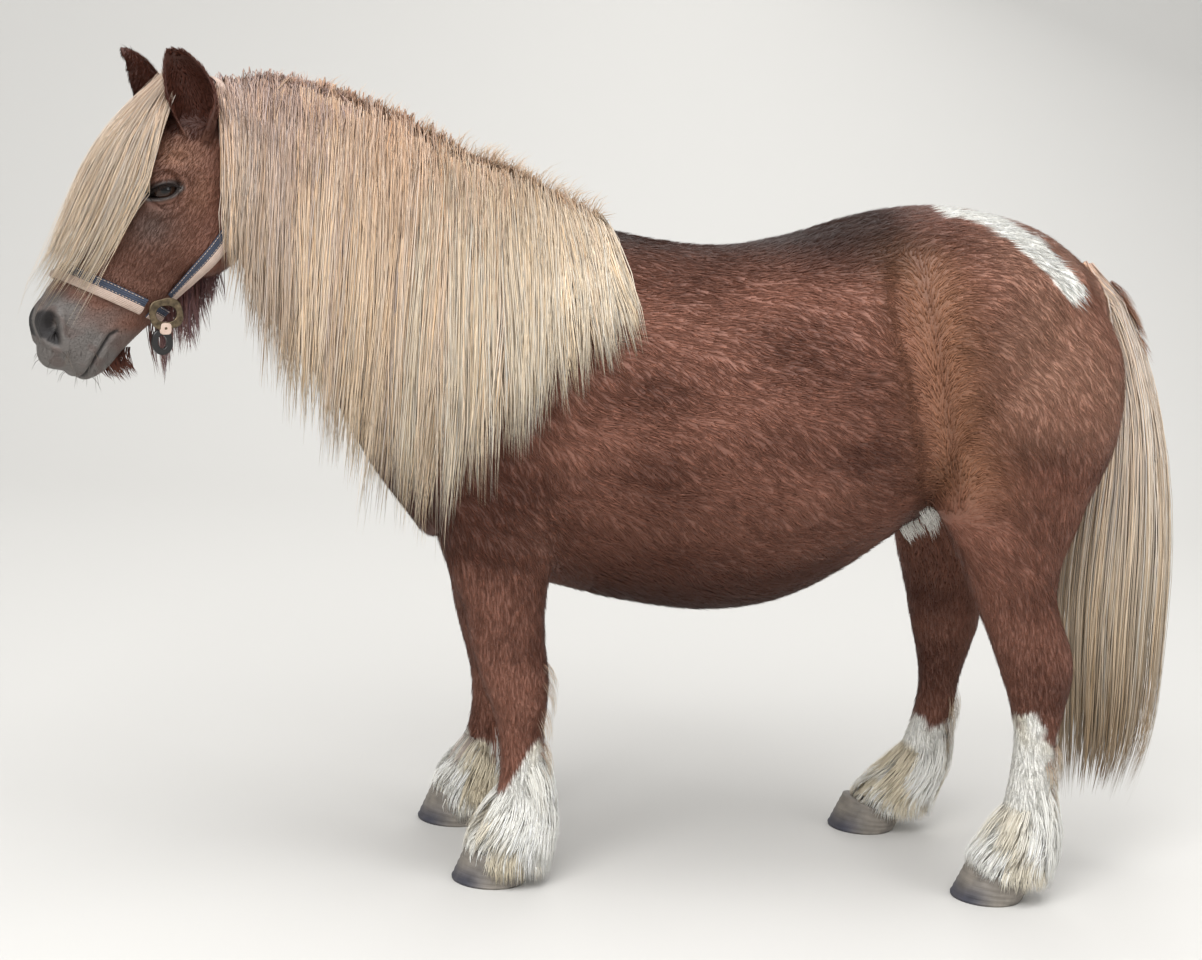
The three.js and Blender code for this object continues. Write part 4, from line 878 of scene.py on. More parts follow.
def coat_flow(p, n):
    """The way the hair lies at each point."""
    x, y, z = p[:, 0], p[:, 1], p[:, 2]
    flow = np.tile(np.array((1.0, 0.0, -0.42)), (len(p), 1))
    thigh = smooth_step(250, 420, x) * (1 - smooth_step(900, 980, z))
    flow = mix(flow, np.array((0.5, 0, -1.0)), thigh)
    shoulder = smooth_step(-230, -330, x)
    flow = mix(flow, np.array((0.55, 0, -0.9)), shoulder)
    top = smooth_step(905, 950, z) * smooth_step(-300, -200, x)
    flow = mix(flow, np.array((1.0, 0, -0.12)), top)
    legs = smooth_step(520, 430, z) * ((x < -230) | (x > 230))
    flow = mix(flow, np.array((0.12, 0, -1.0)), legs)
    head = smooth_step(-740, -790, x)
    flow = mix(flow, np.array((-0.42, -0.2, -0.86)), head)
    off = x - line_at(WHORL, z)
    parting = np.exp(-(off / 48) ** 2) * smooth_step(540, 600, z) * (1 - smooth_step(905, 965, z))
    feather_x = np.clip(off / 14, -1, 1) * (0.6 + np.abs(off) / 60)
    feather_way = np.stack([feather_x, np.zeros(len(p)), 1.0 - np.abs(off) / 60], 1)
    flow = flow + (feather_way - flow) * np.clip(1.15 * parting, 0, 1)[:, None]
    ears = smooth_step(1042, 1060, z) * (x < -775) * (np.abs(y + 14) > 30)
    flow = mix(flow, np.array((-0.25, 0, 1.0)), ears)
    turn = (0.28 * ripple(p, 120, 21) + 0.16 * ripple(p, 34, 22)) * (1 - 0.6 * head) * (1 - 0.7 * legs)
    side = np.cross(n, flow)
    flow = flow * np.cos(turn)[:, None] + side * np.sin(turn)[:, None]
    flow -= n * (flow * n).sum(1)[:, None]
    return flow / np.maximum(1e-6, np.linalg.norm(flow, axis=1))[:, None]


def unit(v):
    return v / np.maximum(1e-9, np.linalg.norm(v, axis=-1, keepdims=True))


def painted(mesh, colours):
    """Gives each point of a mesh its own colour."""
    paint = mesh.attributes.new("coat", "FLOAT_COLOR", "POINT")
    paint.data.foreach_set("color", np.concatenate([colours, np.ones((len(colours), 1))], 1).ravel())


UV_PATCH = 0.003  # side of the patch that one hair takes on the unwrap of the skin


def hair_piece(name, paths, side, width, thick, colours, uv_root, material):
    """One mesh of closed three-sided tapering hairs. `paths` is hairs x points x 3 in drawn millimetres."""
    count, steps, _ = paths.shape
    along = unit(np.gradient(paths, axis=1))
    side = unit(side - along * (side * along).sum(2, keepdims=True))
    face = np.cross(side, along)
    w, t = width[:, :, None] / 2, thick[:, :, None] / 2
    under = paths - face * t * 0.5
    rings = np.stack([under - side * w, under + side * w, paths + face * t], 2)
    body = rings[:, :-1].reshape(count, (steps - 1) * 3, 3)
    points = np.concatenate([body, paths[:, -1:]], 1)
    per = (steps - 1) * 3 + 1
    faces = [(0, 2, 1)]
    for r in range(steps - 2):
        for k in range(3):
            a, b = r * 3 + k, r * 3 + (k + 1) % 3
            faces += [(a, b, b + 3), (a, b + 3, a + 3)]
    last = (steps - 2) * 3
    for k in range(3):
        faces.append((last + k, last + (k + 1) % 3, per - 1))
    faces = np.array(faces)
    triangles = (faces[None] + (np.arange(count) * per)[:, None, None]).reshape(-1, 3)
    mesh = bpy.data.meshes.new(name)
    mesh.vertices.add(count * per)
    mesh.vertices.foreach_set("co", placed(points).ravel())
    mesh.loops.add(len(triangles) * 3)
    mesh.loops.foreach_set("vertex_index", triangles.ravel().astype(np.int32))
    mesh.polygons.add(len(triangles))
    mesh.polygons.foreach_set("loop_start", np.arange(len(triangles), dtype=np.int32) * 3)
    mesh.polygons.foreach_set("use_smooth", np.ones(len(triangles), dtype=bool))
    vertex_colour = np.concatenate([np.repeat(colours[:, :-1], 3, axis=1), colours[:, -1:]], 1)
    painted(mesh, np.clip(vertex_colour, 0, 1).reshape(-1, 3))
    patch_u = np.concatenate([np.tile([0.0, 1.0, 0.5], steps - 1), [0.5]])
    patch_v = np.concatenate([np.repeat(np.linspace(0, 1, steps)[:-1], 3), [1.0]])
    vertex_uv = uv_root[:, None] + (np.stack([patch_u, patch_v], 1)[None] - 0.5) * UV_PATCH
    layer = mesh.uv_layers.new(name="OFBake")
    layer.data.foreach_set("uv", vertex_uv.reshape(-1, 2)[triangles.ravel()].ravel())
    mesh.update()
    mesh.validate()
    mesh.materials.append(material)
    piece = bpy.data.objects.new(name, mesh)
    bpy.context.collection.objects.link(piece)
    return piece


def own_paint(wire, tone=1.0):
    """The colour painted on the piece's own points, made lighter or darker by a tone."""
    paint = wire.out(wire.node("ShaderNodeAttribute", {"attribute_name": "coat"}), "Color")
    return wire.out(wire.node("ShaderNodeVectorMath", {"operation": "SCALE"}, n0=paint, Scale=tone), 0)


def grain(wire, scale, stretch=None, **settings):
    """Noise through the piece, drawn out by another scale for each axis if asked."""
    place = wire.out(wire.node("ShaderNodeTexCoord"), "Object")
    if stretch:
        place = wire.out(wire.node("ShaderNodeMapping", Vector=place, Scale=stretch))
    return wire.out(wire.node("ShaderNodeTexNoise", Vector=place, Scale=scale, **settings), "Fac")


def raised(wire, height, strength, distance):
    return wire.out(wire.node("ShaderNodeBump", Height=height, Strength=strength, Distance=distance))


def hair_material(name, roughness, streak_scale, contrast):
    """Hair colour from the piece's own painting, with finer streaks across it."""
    material, shader, wire = new_material(name, roughness, Specular_IOR_Level=0.22)
    streak = grain(wire, 1.0, streak_scale, Detail=3.0, Roughness=0.6)
    feed(shader, Base_Color=own_paint(wire, streak * contrast + (1.0 - contrast / 2)),
         Roughness=grain(wire, 60.0) * 0.3 + (roughness - 0.15))
    return material


painted(hide.data, coat_colour(places_of(hide.data)))
coat_material = hair_material("short_coat_hair", 0.55, (220.0, 220.0, 220.0), 0.6)
face_material = hair_material("face_hair", 0.55, (420.0, 420.0, 160.0), 0.3)
white_material = hair_material("white_hair", 0.5, (300.0, 300.0, 60.0), 0.25)
hide_material, hide_shader, hide_wire = new_material("hide_and_short_hair", 0.62)
hide_streak = grain(hide_wire, 1.0, (70.0, 420.0, 420.0), Detail=4.0)
feed(hide_shader, Base_Color=own_paint(hide_wire, hide_streak * 0.5 + 0.58),
     Normal=raised(hide_wire, hide_streak, 0.5, 0.002))
hide.data.materials.append(hide_material)

hide_tree = tree_of(hide.data)


def laid_on(points, lift):
    """Moves points to `lift` above the nearest hide."""
    result = np.empty_like(points)
    for i, p in enumerate(points.tolist()):
        place, normal, _, _ = hide_tree.find_nearest(p)
        result[i] = np.array(place) + np.array(normal) * lift[i]
    return result


BODY_HAIR = 23.0  # length of the short hair on the barrel, to which its width is matched


def coat_length(p):
    """Length of the short hair at drawn points."""
    x, z = p[:, 0], p[:, 2]
    length = np.full(len(p), BODY_HAIR)
    length += 9 * smooth_step(520, 420, z) * (x > -250) * (x < 260)
    legs = smooth_step(500, 380, z) * ((x < -230) | (x > 230))
    length = length * (1 - legs) + 15 * legs
    head = smooth_step(-720, -790, x)
    face = 11 - 6.5 * smooth_step(230, 380, down_face(unturned(p))) + 2.5 * smooth_step(1046, 1062, z)
    return length * (1 - head) + face * head


MANE_COVER = ((-742, 880), (-693, 790), (-649, 730), (-585, 690), (-504, 620), (-457, 590), (-408, 650),
              (-343, 720), (-291, 790), (-239, 860))


def under_mane(p):
    """Where the near side of the neck is hidden by the mane, so that few tufts are needed."""
    x, y, z = p[:, 0], p[:, 1], p[:, 2]
    tips = line_at(MANE_COVER, x)
    return (y < 0) & (x > -735) & (x < -270) & (z > tips)


def bare(p):
    """1 on the lids' edges, in the nostrils and between the lips, where no hair grows."""
    local = unturned(p)
    none = smooth_step(1.2, 0.95, nostril_reach(local, 8))
    for side in (-1, 1):
        centre, along, up_way, _ = eye_frame(side)
        d = local - centre
        reach = np.hypot((d @ along - OPENING[0]) / (EYE_HALF + 4), (d @ up_way - OPENING[1]) / (EYE_UP + 5))
        none = np.maximum(none, (reach < 1) * (np.linalg.norm(d, axis=1) < 32))
    gap, _ = from_line(local, MOUTH)
    return np.maximum(none, (gap < 2.5) * (local[:, 0] < -925) * (local[:, 0] > -1000) * (local[:, 2] < 775))


def tuft_weight(p):
    """How closely the tufts stand: closest on the head and ears, thinnest under the mane and the feather."""
    z = p[:, 2]
    head = smooth_step(-740, -800, p[:, 0])
    legs = smooth_step(460, 360, z) * (0.2 + 0.8 * smooth_step(110, 170, z))
    hidden = np.where(z < 110, 0.3, 1.0) * np.where(under_mane(p), 0.2, 1.0)
    return (1 + 1.9 * head + 1.2 * (head > 0) * (z > 1050) + 0.8 * legs) * hidden * (1 - bare(p))


COAT_PIECES = {  # each takes the roots for which its rule holds
    "coat_barrel_left": lambda x, y, z: (x >= -250) & (x < 180) & (y < 0) & (z > 300),
    "coat_barrel_right": lambda x, y, z: (x >= -250) & (x < 180) & (y >= 0) & (z > 300),
    "coat_rump_left": lambda x, y, z: (x >= 180) & (y < 0) & (z > 420),
    "coat_rump_right": lambda x, y, z: (x >= 180) & (y >= 0) & (z > 420),
    "coat_shoulder_left": lambda x, y, z: (x < -250) & (x > -735) & (z > 420) & (y < 0),
    "coat_shoulder_right": lambda x, y, z: (x < -250) & (x > -735) & (z > 420) & (y >= 0),
    "coat_head": lambda x, y, z: x <= -735,
    "coat_forelegs": lambda x, y, z: (z <= 420) & (x < 0) & ~((z > 300) & (x >= -250)),
    "coat_hindlegs": lambda x, y, z: (z <= 420) & (x >= 0) & ~((z > 300) & (x < 180)),
}
HOOF_TOP = 46.0  # no short hair grows below this height
TUFTS = 189000
roots, root_normals = skin_samples(hide.data, TUFTS, tuft_weight, 77)
keep = roots[:, 2] > HOOF_TOP
roots, root_normals = roots[keep], root_normals[keep]
tuft_draw = np.random.default_rng(78)
flow = coat_flow(roots, root_normals)
clumped = ripple(roots, 15, 23) * (roots[:, 0] > -740) * (roots[:, 2] > 470)
sway = (tuft_draw.normal(0, 0.1, len(roots)) + 0.16 * clumped)[:, None]
flow = unit(flow + np.cross(root_normals, flow) * sway)
length = coat_length(roots) * tuft_draw.uniform(0.7, 1.25, len(roots))
size = np.clip(length / BODY_HAIR, 0.2, 1.25)
on_ear = smooth_step(1040, 1060, roots[:, 2]) * (roots[:, 0] < -775)
lift = size * (2.2 + 2.6 * tuft_draw.random(len(roots)) + 0.8 * ripple(roots, 24, 24)) * (1 + 0.6 * on_ear)
tips = laid_on(roots + flow * length[:, None], lift)
starts = roots - root_normals * 0.8
tuft_paths = np.stack([starts, tips], 1)
tuft_side = np.cross(root_normals, flow)[:, None].repeat(2, 1)
tuft_width = np.clip(length / BODY_HAIR, 0.42, 1.1) * 2.5 * tuft_draw.uniform(0.8, 1.25, len(roots))
tuft_width = tuft_width[:, None] * (1.0, 0.0)
tuft_thick = tuft_width * 0.4
base_colour = coat_colour(roots + flow * length[:, None] * 0.3)
face_share = (smooth_step(-740, -790, roots[:, 0]) * (1 - 3 * on_ear))[:, None, None]
tone = tuft_draw.normal(1, 0.065, len(roots))[:, None, None] * np.array((0.92, 1.05))[None, :, None]
tone = tone + (1 - tone) * 0.5 * face_share
tuft_colour = base_colour[:, None] * tone


def body_unwrap(p, low, high):
    """A place on the body's own unwrap: along it, and round it from the back to the belly."""
    span = np.maximum(1, high - low)
    u = (p[:, 0] - low[0]) / span[0]
    around = np.arctan2(p[:, 1], p[:, 2] - 0.5 * (low[2] + high[2]))
    v = (around - around.min()) / max(1e-6, around.max() - around.min())
    return np.stack([0.01 + 0.98 * u, 0.01 + 0.98 * v], 1)


def leg_unwrap(p):
    """Four strips side by side, one for each leg: round it, and down it."""
    fore = p[:, 0] < 0
    near = p[:, 1] < 0
    leg = fore * 2 + near
    centre_x = np.where(fore, -325, 430) - np.where(near, 0, np.where(fore, 20, 60))
    centre_y = np.where(near, -1, 1) * np.where(fore, 139, 158)
    around = (np.arctan2(p[:, 1] - centre_y, p[:, 0] - centre_x) / (2 * np.pi)) % 1
    return np.stack([(leg + 0.02 + 0.96 * around) / 4, 0.01 + 0.98 * p[:, 2] / p[:, 2].max()], 1)


for name, belongs in COAT_PIECES.items():
    mine = belongs(*roots.T)
    p = roots[mine]
    uv = leg_unwrap(p) if name.endswith("legs") else body_unwrap(p, p.min(0), p.max(0))
    piece = hair_piece(name, tuft_paths[mine], tuft_side[mine], tuft_width[mine], tuft_thick[mine],
                       tuft_colour[mine], uv, face_material if name == "coat_head" else coat_material)
    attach(piece, "root")


# Eyes
# Glossy dark eyeballs with a brown iris and a pupil that is a level slot. Each fills its socket behind the
# lids, and bulges a little at the front.
IRIS_BROWN, IRIS_SHADE = np.array(linear(50, 31, 21)), np.array(linear(34, 21, 15))
PUPIL_BLACK, EYE_EDGE = np.array(linear(8, 7, 8)), np.array(linear(24, 17, 14))
CORNEA = 1.2  # how far the front bulges
eye_material, eye_shader, eye_wire = new_material(
    "wet_eye", 0.08, Coat_Weight=0.12, Coat_Roughness=0.02, Specular_IOR_Level=0.3)
feed(eye_shader, Base_Color=own_paint(eye_wire))
for side, name in ((-1, "left"), (1, "right")):
    centre, along, up_way, out = eye_frame(side)
    points, faces = ball((0, 0, 0), (EYE_RADIUS,) * 3, sides=64)
    u, v, w = points @ along, points @ up_way, points @ out
    points = points + np.outer(CORNEA * np.exp(-((u / 9) ** 2 + (v / 9) ** 2)) * (w > 0), out)
    iris = smooth_step(15.5, 13.5, np.hypot(u, v * 1.05)) * (w > 0)
    pupil = smooth_step(1.12, 0.9, np.hypot(u / 8.5, v / 4.2)) * (w > 0)
    rays = 0.75 + 0.35 * np.sin(np.arctan2(v, u) * 34) * np.sin(np.hypot(u, v))
    colours = mix(np.tile(EYE_EDGE, (len(points), 1)), IRIS_BROWN, iris)
    colours = mix(colours, IRIS_SHADE, iris * np.clip(rays - 0.5, 0, 1))
    colours = mix(colours, PUPIL_BLACK, pupil)
    eyeball = mesh_object("eyeball_" + name, turned(points + centre), faces)
    painted(eyeball.data, colours)
    eyeball.data.materials.append(eye_material)
    eyeball.data.polygons.foreach_set("use_smooth", np.ones(len(eyeball.data.polygons), dtype=bool))
    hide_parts("eye_" + name)
    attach(eyeball, "root")


# Hooves
# Each hoof is horn of dusty grey-brown, dark and bluish towards the toe, and ringed where it has grown. Its
# upper edge is hidden in the feather, and the heel is lower than the toe.
HOOF_HEIGHT, HEEL_DROP = 52.0, 12.0
FORE_HOOF = {
    "toe": -398, "heel": -290, "top_toe": -378, "top_heel": -282, "half": 51, "top_half": 46, "y": -139}
HIND_HOOF = {
    "toe": 343, "heel": 449, "top_toe": 365, "top_heel": 463, "half": 50, "top_half": 45, "y": -160}
HOOF_COLUMNS, HOOF_ROWS = 64, 26


def hoof_form(shape, step, far):
    """Points, faces and blue-black share of one hoof, from the ground up."""
    shift = line_at(step, 0)
    y = -shape["y"] if far else shape["y"]
    angle = np.linspace(0, 2 * np.pi, HOOF_COLUMNS, endpoint=False)
    points, tints = [], []
    for r in range(HOOF_ROWS):
        rise = r / (HOOF_ROWS - 1)
        toe = shape["toe"] + (shape["top_toe"] - shape["toe"]) * rise + shift
        heel = shape["heel"] + (shape["top_heel"] - shape["heel"]) * rise + shift
        half = shape["half"] + (shape["top_half"] - shape["half"]) * rise
        ring = 0.45 * np.sin(rise * 34 + 0.5 * np.cos(angle)) * smooth_step(0.0, 0.1, rise)
        edge = -1.6 * (r == 0)
        x = (toe + heel) / 2 + ((heel - toe) / 2 + ring + edge) * np.cos(angle)
        z = rise * HOOF_HEIGHT - HEEL_DROP * rise * (1 + np.cos(angle)) + 1.4 * (r == 1)
        points.append(np.stack([x, y + (half + ring + edge) * np.sin(angle), z], 1))
        front = smooth_step(0.2, -0.9, np.cos(angle))
        tints.append(np.clip(front * smooth_step(0.75, 0.1, rise) + 0.1 * np.sin(5 * angle), 0, 1))
    faces = grid_faces(HOOF_ROWS, HOOF_COLUMNS, True)
    total = HOOF_ROWS * HOOF_COLUMNS
    sole = ((shape["toe"] + shape["heel"]) / 2 + shift, y, 0)
    top = ((shape["top_toe"] + shape["top_heel"]) / 2 + shift, y, HOOF_HEIGHT - HEEL_DROP)
    for c in range(HOOF_COLUMNS):
        d = (c + 1) % HOOF_COLUMNS
        faces.append((total, d, c))
        faces.append((total + 1, total - HOOF_COLUMNS + c, total - HOOF_COLUMNS + d))
    return np.concatenate(points + [np.array([sole, top])]), faces, np.concatenate(tints + [[0.0, 0.0]])


horn_material, horn_shader, horn_wire = new_material("hoof_horn", 0.62)
horn_band = grain(horn_wire, 1.0, (20.0, 20.0, 420.0), Detail=3.0)
horn_dust = grain(horn_wire, 55.0, Detail=5.0)
feed(horn_shader, Base_Color=own_paint(horn_wire, horn_band * 0.25 + horn_dust * 1.1 + 0.3),
     Normal=raised(horn_wire, horn_band + horn_dust * 0.5, 0.6, 0.0012))
HORN_DUST = np.array(linear(128, 121, 112))
HORN_BLUE = np.array(linear(62, 62, 72))
for foot, shape, step, far in (
    ("hoof_fore_left", FORE_HOOF, NO_STEP, False), ("hoof_fore_right", FORE_HOOF, FAR_FORE_STEP, True),
    ("hoof_hind_left", HIND_HOOF, NO_STEP, False), ("hoof_hind_right", HIND_HOOF, FAR_HIND_STEP, True),
):
    points, faces, tints = hoof_form(shape, step, far)
    horn = mesh_object("horn_" + foot, points, faces)
    horn.data.polygons.foreach_set("use_smooth", np.ones(len(faces), dtype=bool))
    painted(horn.data, mix(np.tile(HORN_DUST, (len(points), 1)), HORN_BLUE, tints))
    horn.data.materials.append(horn_material)
    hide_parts(foot)
    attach(horn, "root")


# Halter
# Flat slate-blue webbing with a rolled peach edge stitched along its lower half: a noseband, a strap under the
# jaw, two cheek straps and a crown behind the ears. Dull bronze plates join them, with a nickel buckle above.
WEB_HALF, WEB_LIFT = 12.0, 4.5
NOSE_RING = (np.array((-925, 0, 806.0)), np.array((-0.924, 0, 0.383)), np.array((0, -1.0, 0)))
CROWN_RING = (np.array((-788, 0, 1010.0)), np.array((0, 0, 1.0)), np.array((0, -1.0, 0)))
CHEEK_LOW, CHEEK_HIGH = np.array((-860, 0, 809.0)), np.array((-787, 0, 914.0))
SIDE_ANGLE = 116.0
STRAP_SHORT = 1.5  # degrees from the middle of a plate to the end of a strap, so that its hole stays open
STRAP_START = 155.0  # the straps are laid on from this far out, inside the neck's reach
TAUT_ROUNDS, TAUT_ROUNDS_CHEEK = 400, 200  # rounds of pulling a strap straight over the hollows


OUTSIDE = 400.0  # a ray towards the side of the head starts this far out


def head_cast(origin, way):
    """First hit on the bare head, all in the head's own frame."""
    start = turned(origin)
    hit = head_tree.ray_cast(Vector(start), Vector(turned(np.array(origin) + way) - start))[0]
    return None if hit is None else unturned(np.array(hit))


def strap_round(ring, begin, end, steps):
    """Stations (low edge, high edge, way out) of a taut strap round the head."""
    centre, u, v = ring
    across = np.cross(u, v)
    angles = np.radians(np.linspace(begin, end, steps + 1))
    ways = np.outer(np.cos(angles), u) + np.outer(np.sin(angles), v)
    edges = []
    for shift in (-WEB_HALF, WEB_HALF):
        middle = centre + across * shift
        reach = np.array([np.linalg.norm(head_cast(middle + w * STRAP_START, -w) - middle) for w in ways])
        chord = 2 * math.cos(math.radians((end - begin) / steps))
        for _ in range(TAUT_ROUNDS):
            reach[1:-1] = np.maximum(reach[1:-1], chord * reach[:-2] * reach[2:] / (reach[:-2] + reach[2:]))
        edges.append(middle + ways * reach[:, None])
    return edges[0], edges[1], ways


def strap_down(side, low_end, high_end, steps):
    """Stations of a taut strap that runs up the side of the head."""
    way = (high_end - low_end) / np.linalg.norm(high_end - low_end)
    across = np.array((-way[2], 0, way[0]))
    out = np.array((0, side, 0.0))
    edges = []
    for shift in (-WEB_HALF, WEB_HALF):
        places = [low_end + (high_end - low_end) * share + across * shift
                  for share in np.linspace(0, 1, steps + 1)]
        points = np.array([head_cast(at + out * OUTSIDE, -out) for at in places])
        for _ in range(TAUT_ROUNDS_CHEEK):
            taut = (points[:-2, 1] + points[2:, 1]) / 2
            points[1:-1, 1] = np.where(side * taut > side * points[1:-1, 1], taut, points[1:-1, 1])
        edges.append(points)
    return edges[0], edges[1], np.tile(out, (steps + 1, 1))


def run_of(points):
    """How far along a line of points each of them lies."""
    return np.concatenate([[0], np.cumsum(np.linalg.norm(np.diff(points, axis=0), axis=1))])


def each_axis(at, places, points):
    """Points between the given ones, at `at` where those lie at `places`."""
    return np.stack([np.interp(at, places, points[:, k]) for k in range(3)], -1)


def ribbon(name, stations, section):
    """A band along stations, its section given as millimetres across from its middle and up from the head."""
    low, high, out = stations
    across = unit(high - low)
    middle = (low + high) / 2
    along = run_of(middle)
    section = np.array(section, float)
    rings = (middle[:, None] + across[:, None] * section[None, :, :1]
             + out[:, None] * (WEB_LIFT + section[None, :, 1:]))
    rows, columns = rings.shape[:2]
    faces = grid_faces(rows, columns, True)
    faces += [tuple(range(columns))[::-1], tuple((rows - 1) * columns + c for c in range(columns))]
    piece = mesh_object(name, turned(rings.reshape(-1, 3)), faces)
    for label, values in (("along", np.repeat(along, columns)), ("across", np.tile(section[:, 0], rows))):
        layer = piece.data.attributes.new(label, "FLOAT", "POINT")
        layer.data.foreach_set("value", values)
    face_outwards()
    bpy.ops.object.shade_smooth_by_angle(angle=math.radians(50))
    return piece


def weave_material(name, dark, light, rib):
    """Woven tape: ribs `rib` apart along it, thread across it, and a little dust."""
    material, shader, wire = new_material(name, 0.88)
    along, across = (wire.out(wire.node("ShaderNodeAttribute", {"attribute_name": label}), "Fac")
                     for label in ("along", "across"))
    thread = (along * (2 * math.pi / THREAD) + across * 1.1).math("SINE", 0.0)
    ribs = (across * (2 * math.pi / rib)).math("SINE", 0.0)
    tone = thread * 0.10 + ribs * 0.10 + grain(wire, 90.0, Detail=5.0) * 0.5
    ramp = wire.node("ShaderNodeValToRGB", {"stops": ((0.0, dark), (0.55, light))}, Fac=tone)
    feed(shader, Base_Color=wire.out(ramp), Normal=raised(wire, thread * 0.6 + ribs, 0.7, 0.0007))
    return material


THREAD = 1.5  # from one crossing thread of the webbing to the next
slate_web = weave_material("slate_webbing", linear(52, 60, 76), linear(82, 90, 108), 3.0)
peach_web = weave_material("peach_webbing", linear(190, 162, 146), linear(222, 202, 188), 2.2)
thread_material, _, _ = new_material("stitching_thread", 0.8, Base_Color=(*linear(214, 190, 170), 1))
FLAT_WEB = [(-12, 0.4), (-11.4, 0), (11.4, 0), (12, 0.4), (12, 1.8), (11.4, 2.2), (4, 2.3), (-4, 2.3),
            (-11.4, 2.2), (-12, 1.8)]
ROLLED_EDGE = [(-6.3 + 6.2 * math.cos(a), 2.3 + 2.2 * max(-0.25, math.sin(a)))
               for a in np.linspace(0, 2 * np.pi, 14, endpoint=False)]
JAW_FROM = SIDE_ANGLE + 8 * STRAP_SHORT
strap_stations = {
    "halter_noseband": strap_round(NOSE_RING, STRAP_SHORT - SIDE_ANGLE, SIDE_ANGLE - STRAP_SHORT, 60),
    "halter_jaw_strap": strap_round(NOSE_RING, JAW_FROM, 360 - JAW_FROM, 30),
    "halter_crown": strap_round(CROWN_RING, -134, 134, 60),
    "halter_cheek_left": strap_down(-1, CHEEK_LOW, CHEEK_HIGH, 24),
    "halter_cheek_right": strap_down(1, CHEEK_LOW, CHEEK_HIGH, 24),
}
STITCH_ROWS = ((10.2, 2.35), (1.4, 2.4), (-11.2, 3.0))  # across the webbing, and height over it
STITCH_LENGTH, STITCH_PITCH = 2.9, 4.6
stitch_forms = []
for strap, stations in strap_stations.items():
    web = ribbon(strap.replace("halter", "web"), stations, FLAT_WEB)
    web.data.materials.append(slate_web)
    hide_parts(strap)
    roll = ribbon(strap.replace("halter", "rolled_edge"), stations, ROLLED_EDGE)
    roll.data.materials.append(peach_web)
    for piece in (web, roll):
        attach(piece, "root")
    low, high, out = stations
    middle, across = (low + high) / 2, unit(high - low)
    run = run_of(middle)
    for row, height in STITCH_ROWS:
        seam = middle + across * row + out * (WEB_LIFT + height)
        for start in np.arange(4, run[-1] - 6, STITCH_PITCH):
            ends = each_axis([start, start + STITCH_LENGTH], run, seam)
            face = each_axis(start, run, out)
            wide = np.cross(unit(ends[1] - ends[0]), face)
            ring = [e + o for e, grow in ((ends[0], 0.2), ((ends[0] + ends[1]) / 2, 0.5), (ends[1], 0.2))
                    for o in (wide * grow, face * grow, -wide * grow, -face * grow)]
            stitch_forms.append((turned(ring), grid_faces(3, 4, True) + [(3, 2, 1, 0), (8, 9, 10, 11)]))
stitches = mesh_object("halter_stitches", *joined(stitch_forms))
stitches.data.materials.append(thread_material)
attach(stitches, "root")

BRONZE_TONES = ((0.3, linear(74, 64, 52)), (0.6, linear(112, 98, 78)), (0.8, linear(150, 132, 104)))
bronze, bronze_shader, bronze_wire = new_material("dull_bronze", 0.42, Metallic=0.9)
bronze_wear = grain(bronze_wire, 160.0, Detail=5.0)
bronze_ramp = bronze_wire.node("ShaderNodeValToRGB", {"stops": BRONZE_TONES}, Fac=bronze_wear)
feed(bronze_shader, Base_Color=bronze_wire.out(bronze_ramp), Roughness=bronze_wear * 0.3 + 0.28)
nickel, _, _ = new_material("worn_nickel", 0.25, Metallic=1.0, Base_Color=(*linear(190, 188, 182), 1))
rubber, _, _ = new_material("black_ring", 0.35, Base_Color=(*linear(28, 26, 26), 1))


def side_reach(side, x, z, wide, tall):
    """How far out the head comes under a fitting."""
    reaches = [head_cast(np.array((x + a * wide, side * OUTSIDE, z + b * tall)), np.array((0, -side, 0)))
               for a in (-0.45, 0, 0.45) for b in (-0.45, 0, 0.45)]
    return max(abs(h[1]) for h in reaches if h is not None)


PLATE_SIDES = 72


def plate(name, side, x, z, outer, inner, off, thickness, tilt, material, node_name=None):
    """A flat plate with a hole, its outline and opening given as reach at each angle, with rounded edges."""
    angle = np.linspace(0, 2 * np.pi, PLATE_SIDES, endpoint=False)
    big, small = outer(angle), inner(angle)
    half = thickness / 2
    rows = [(small, -half + 0.6), (small, half - 0.6), (small + 0.7, half), (big - 1.0, half),
            (big, half - 0.9), (big, -half + 0.9), (big - 1.0, -half), (small + 0.7, -half)]
    points = []
    for reach, depth in rows:
        px, pz = tilted(reach * np.cos(angle), reach * np.sin(angle), tilt)
        points.append(np.stack([x + px, np.full(PLATE_SIDES, side * (off + depth)), z + pz], 1))
    last = (len(rows) - 1) * PLATE_SIDES
    faces = grid_faces(len(rows), PLATE_SIDES, True)
    faces += [(last + c, last + (c + 1) % PLATE_SIDES, (c + 1) % PLATE_SIDES, c) for c in range(PLATE_SIDES)]
    piece = mesh_object(name, turned(np.concatenate(points)), faces)
    face_outwards()
    bpy.ops.object.shade_smooth_by_angle(angle=math.radians(40))
    piece.data.materials.append(material)
    if node_name:
        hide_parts(node_name)
    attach(piece, "root")
    return piece


def oval(wide, tall, square=2.4, lobes=0.0):
    """Reach of a rounded outline at each angle."""
    return lambda t: ((np.abs(np.cos(t) / (wide / 2)) ** square + np.abs(np.sin(t) / (tall / 2)) ** square)
                      ** (-1 / square) * (1 + lobes * np.cos(4 * t + 0.6)))


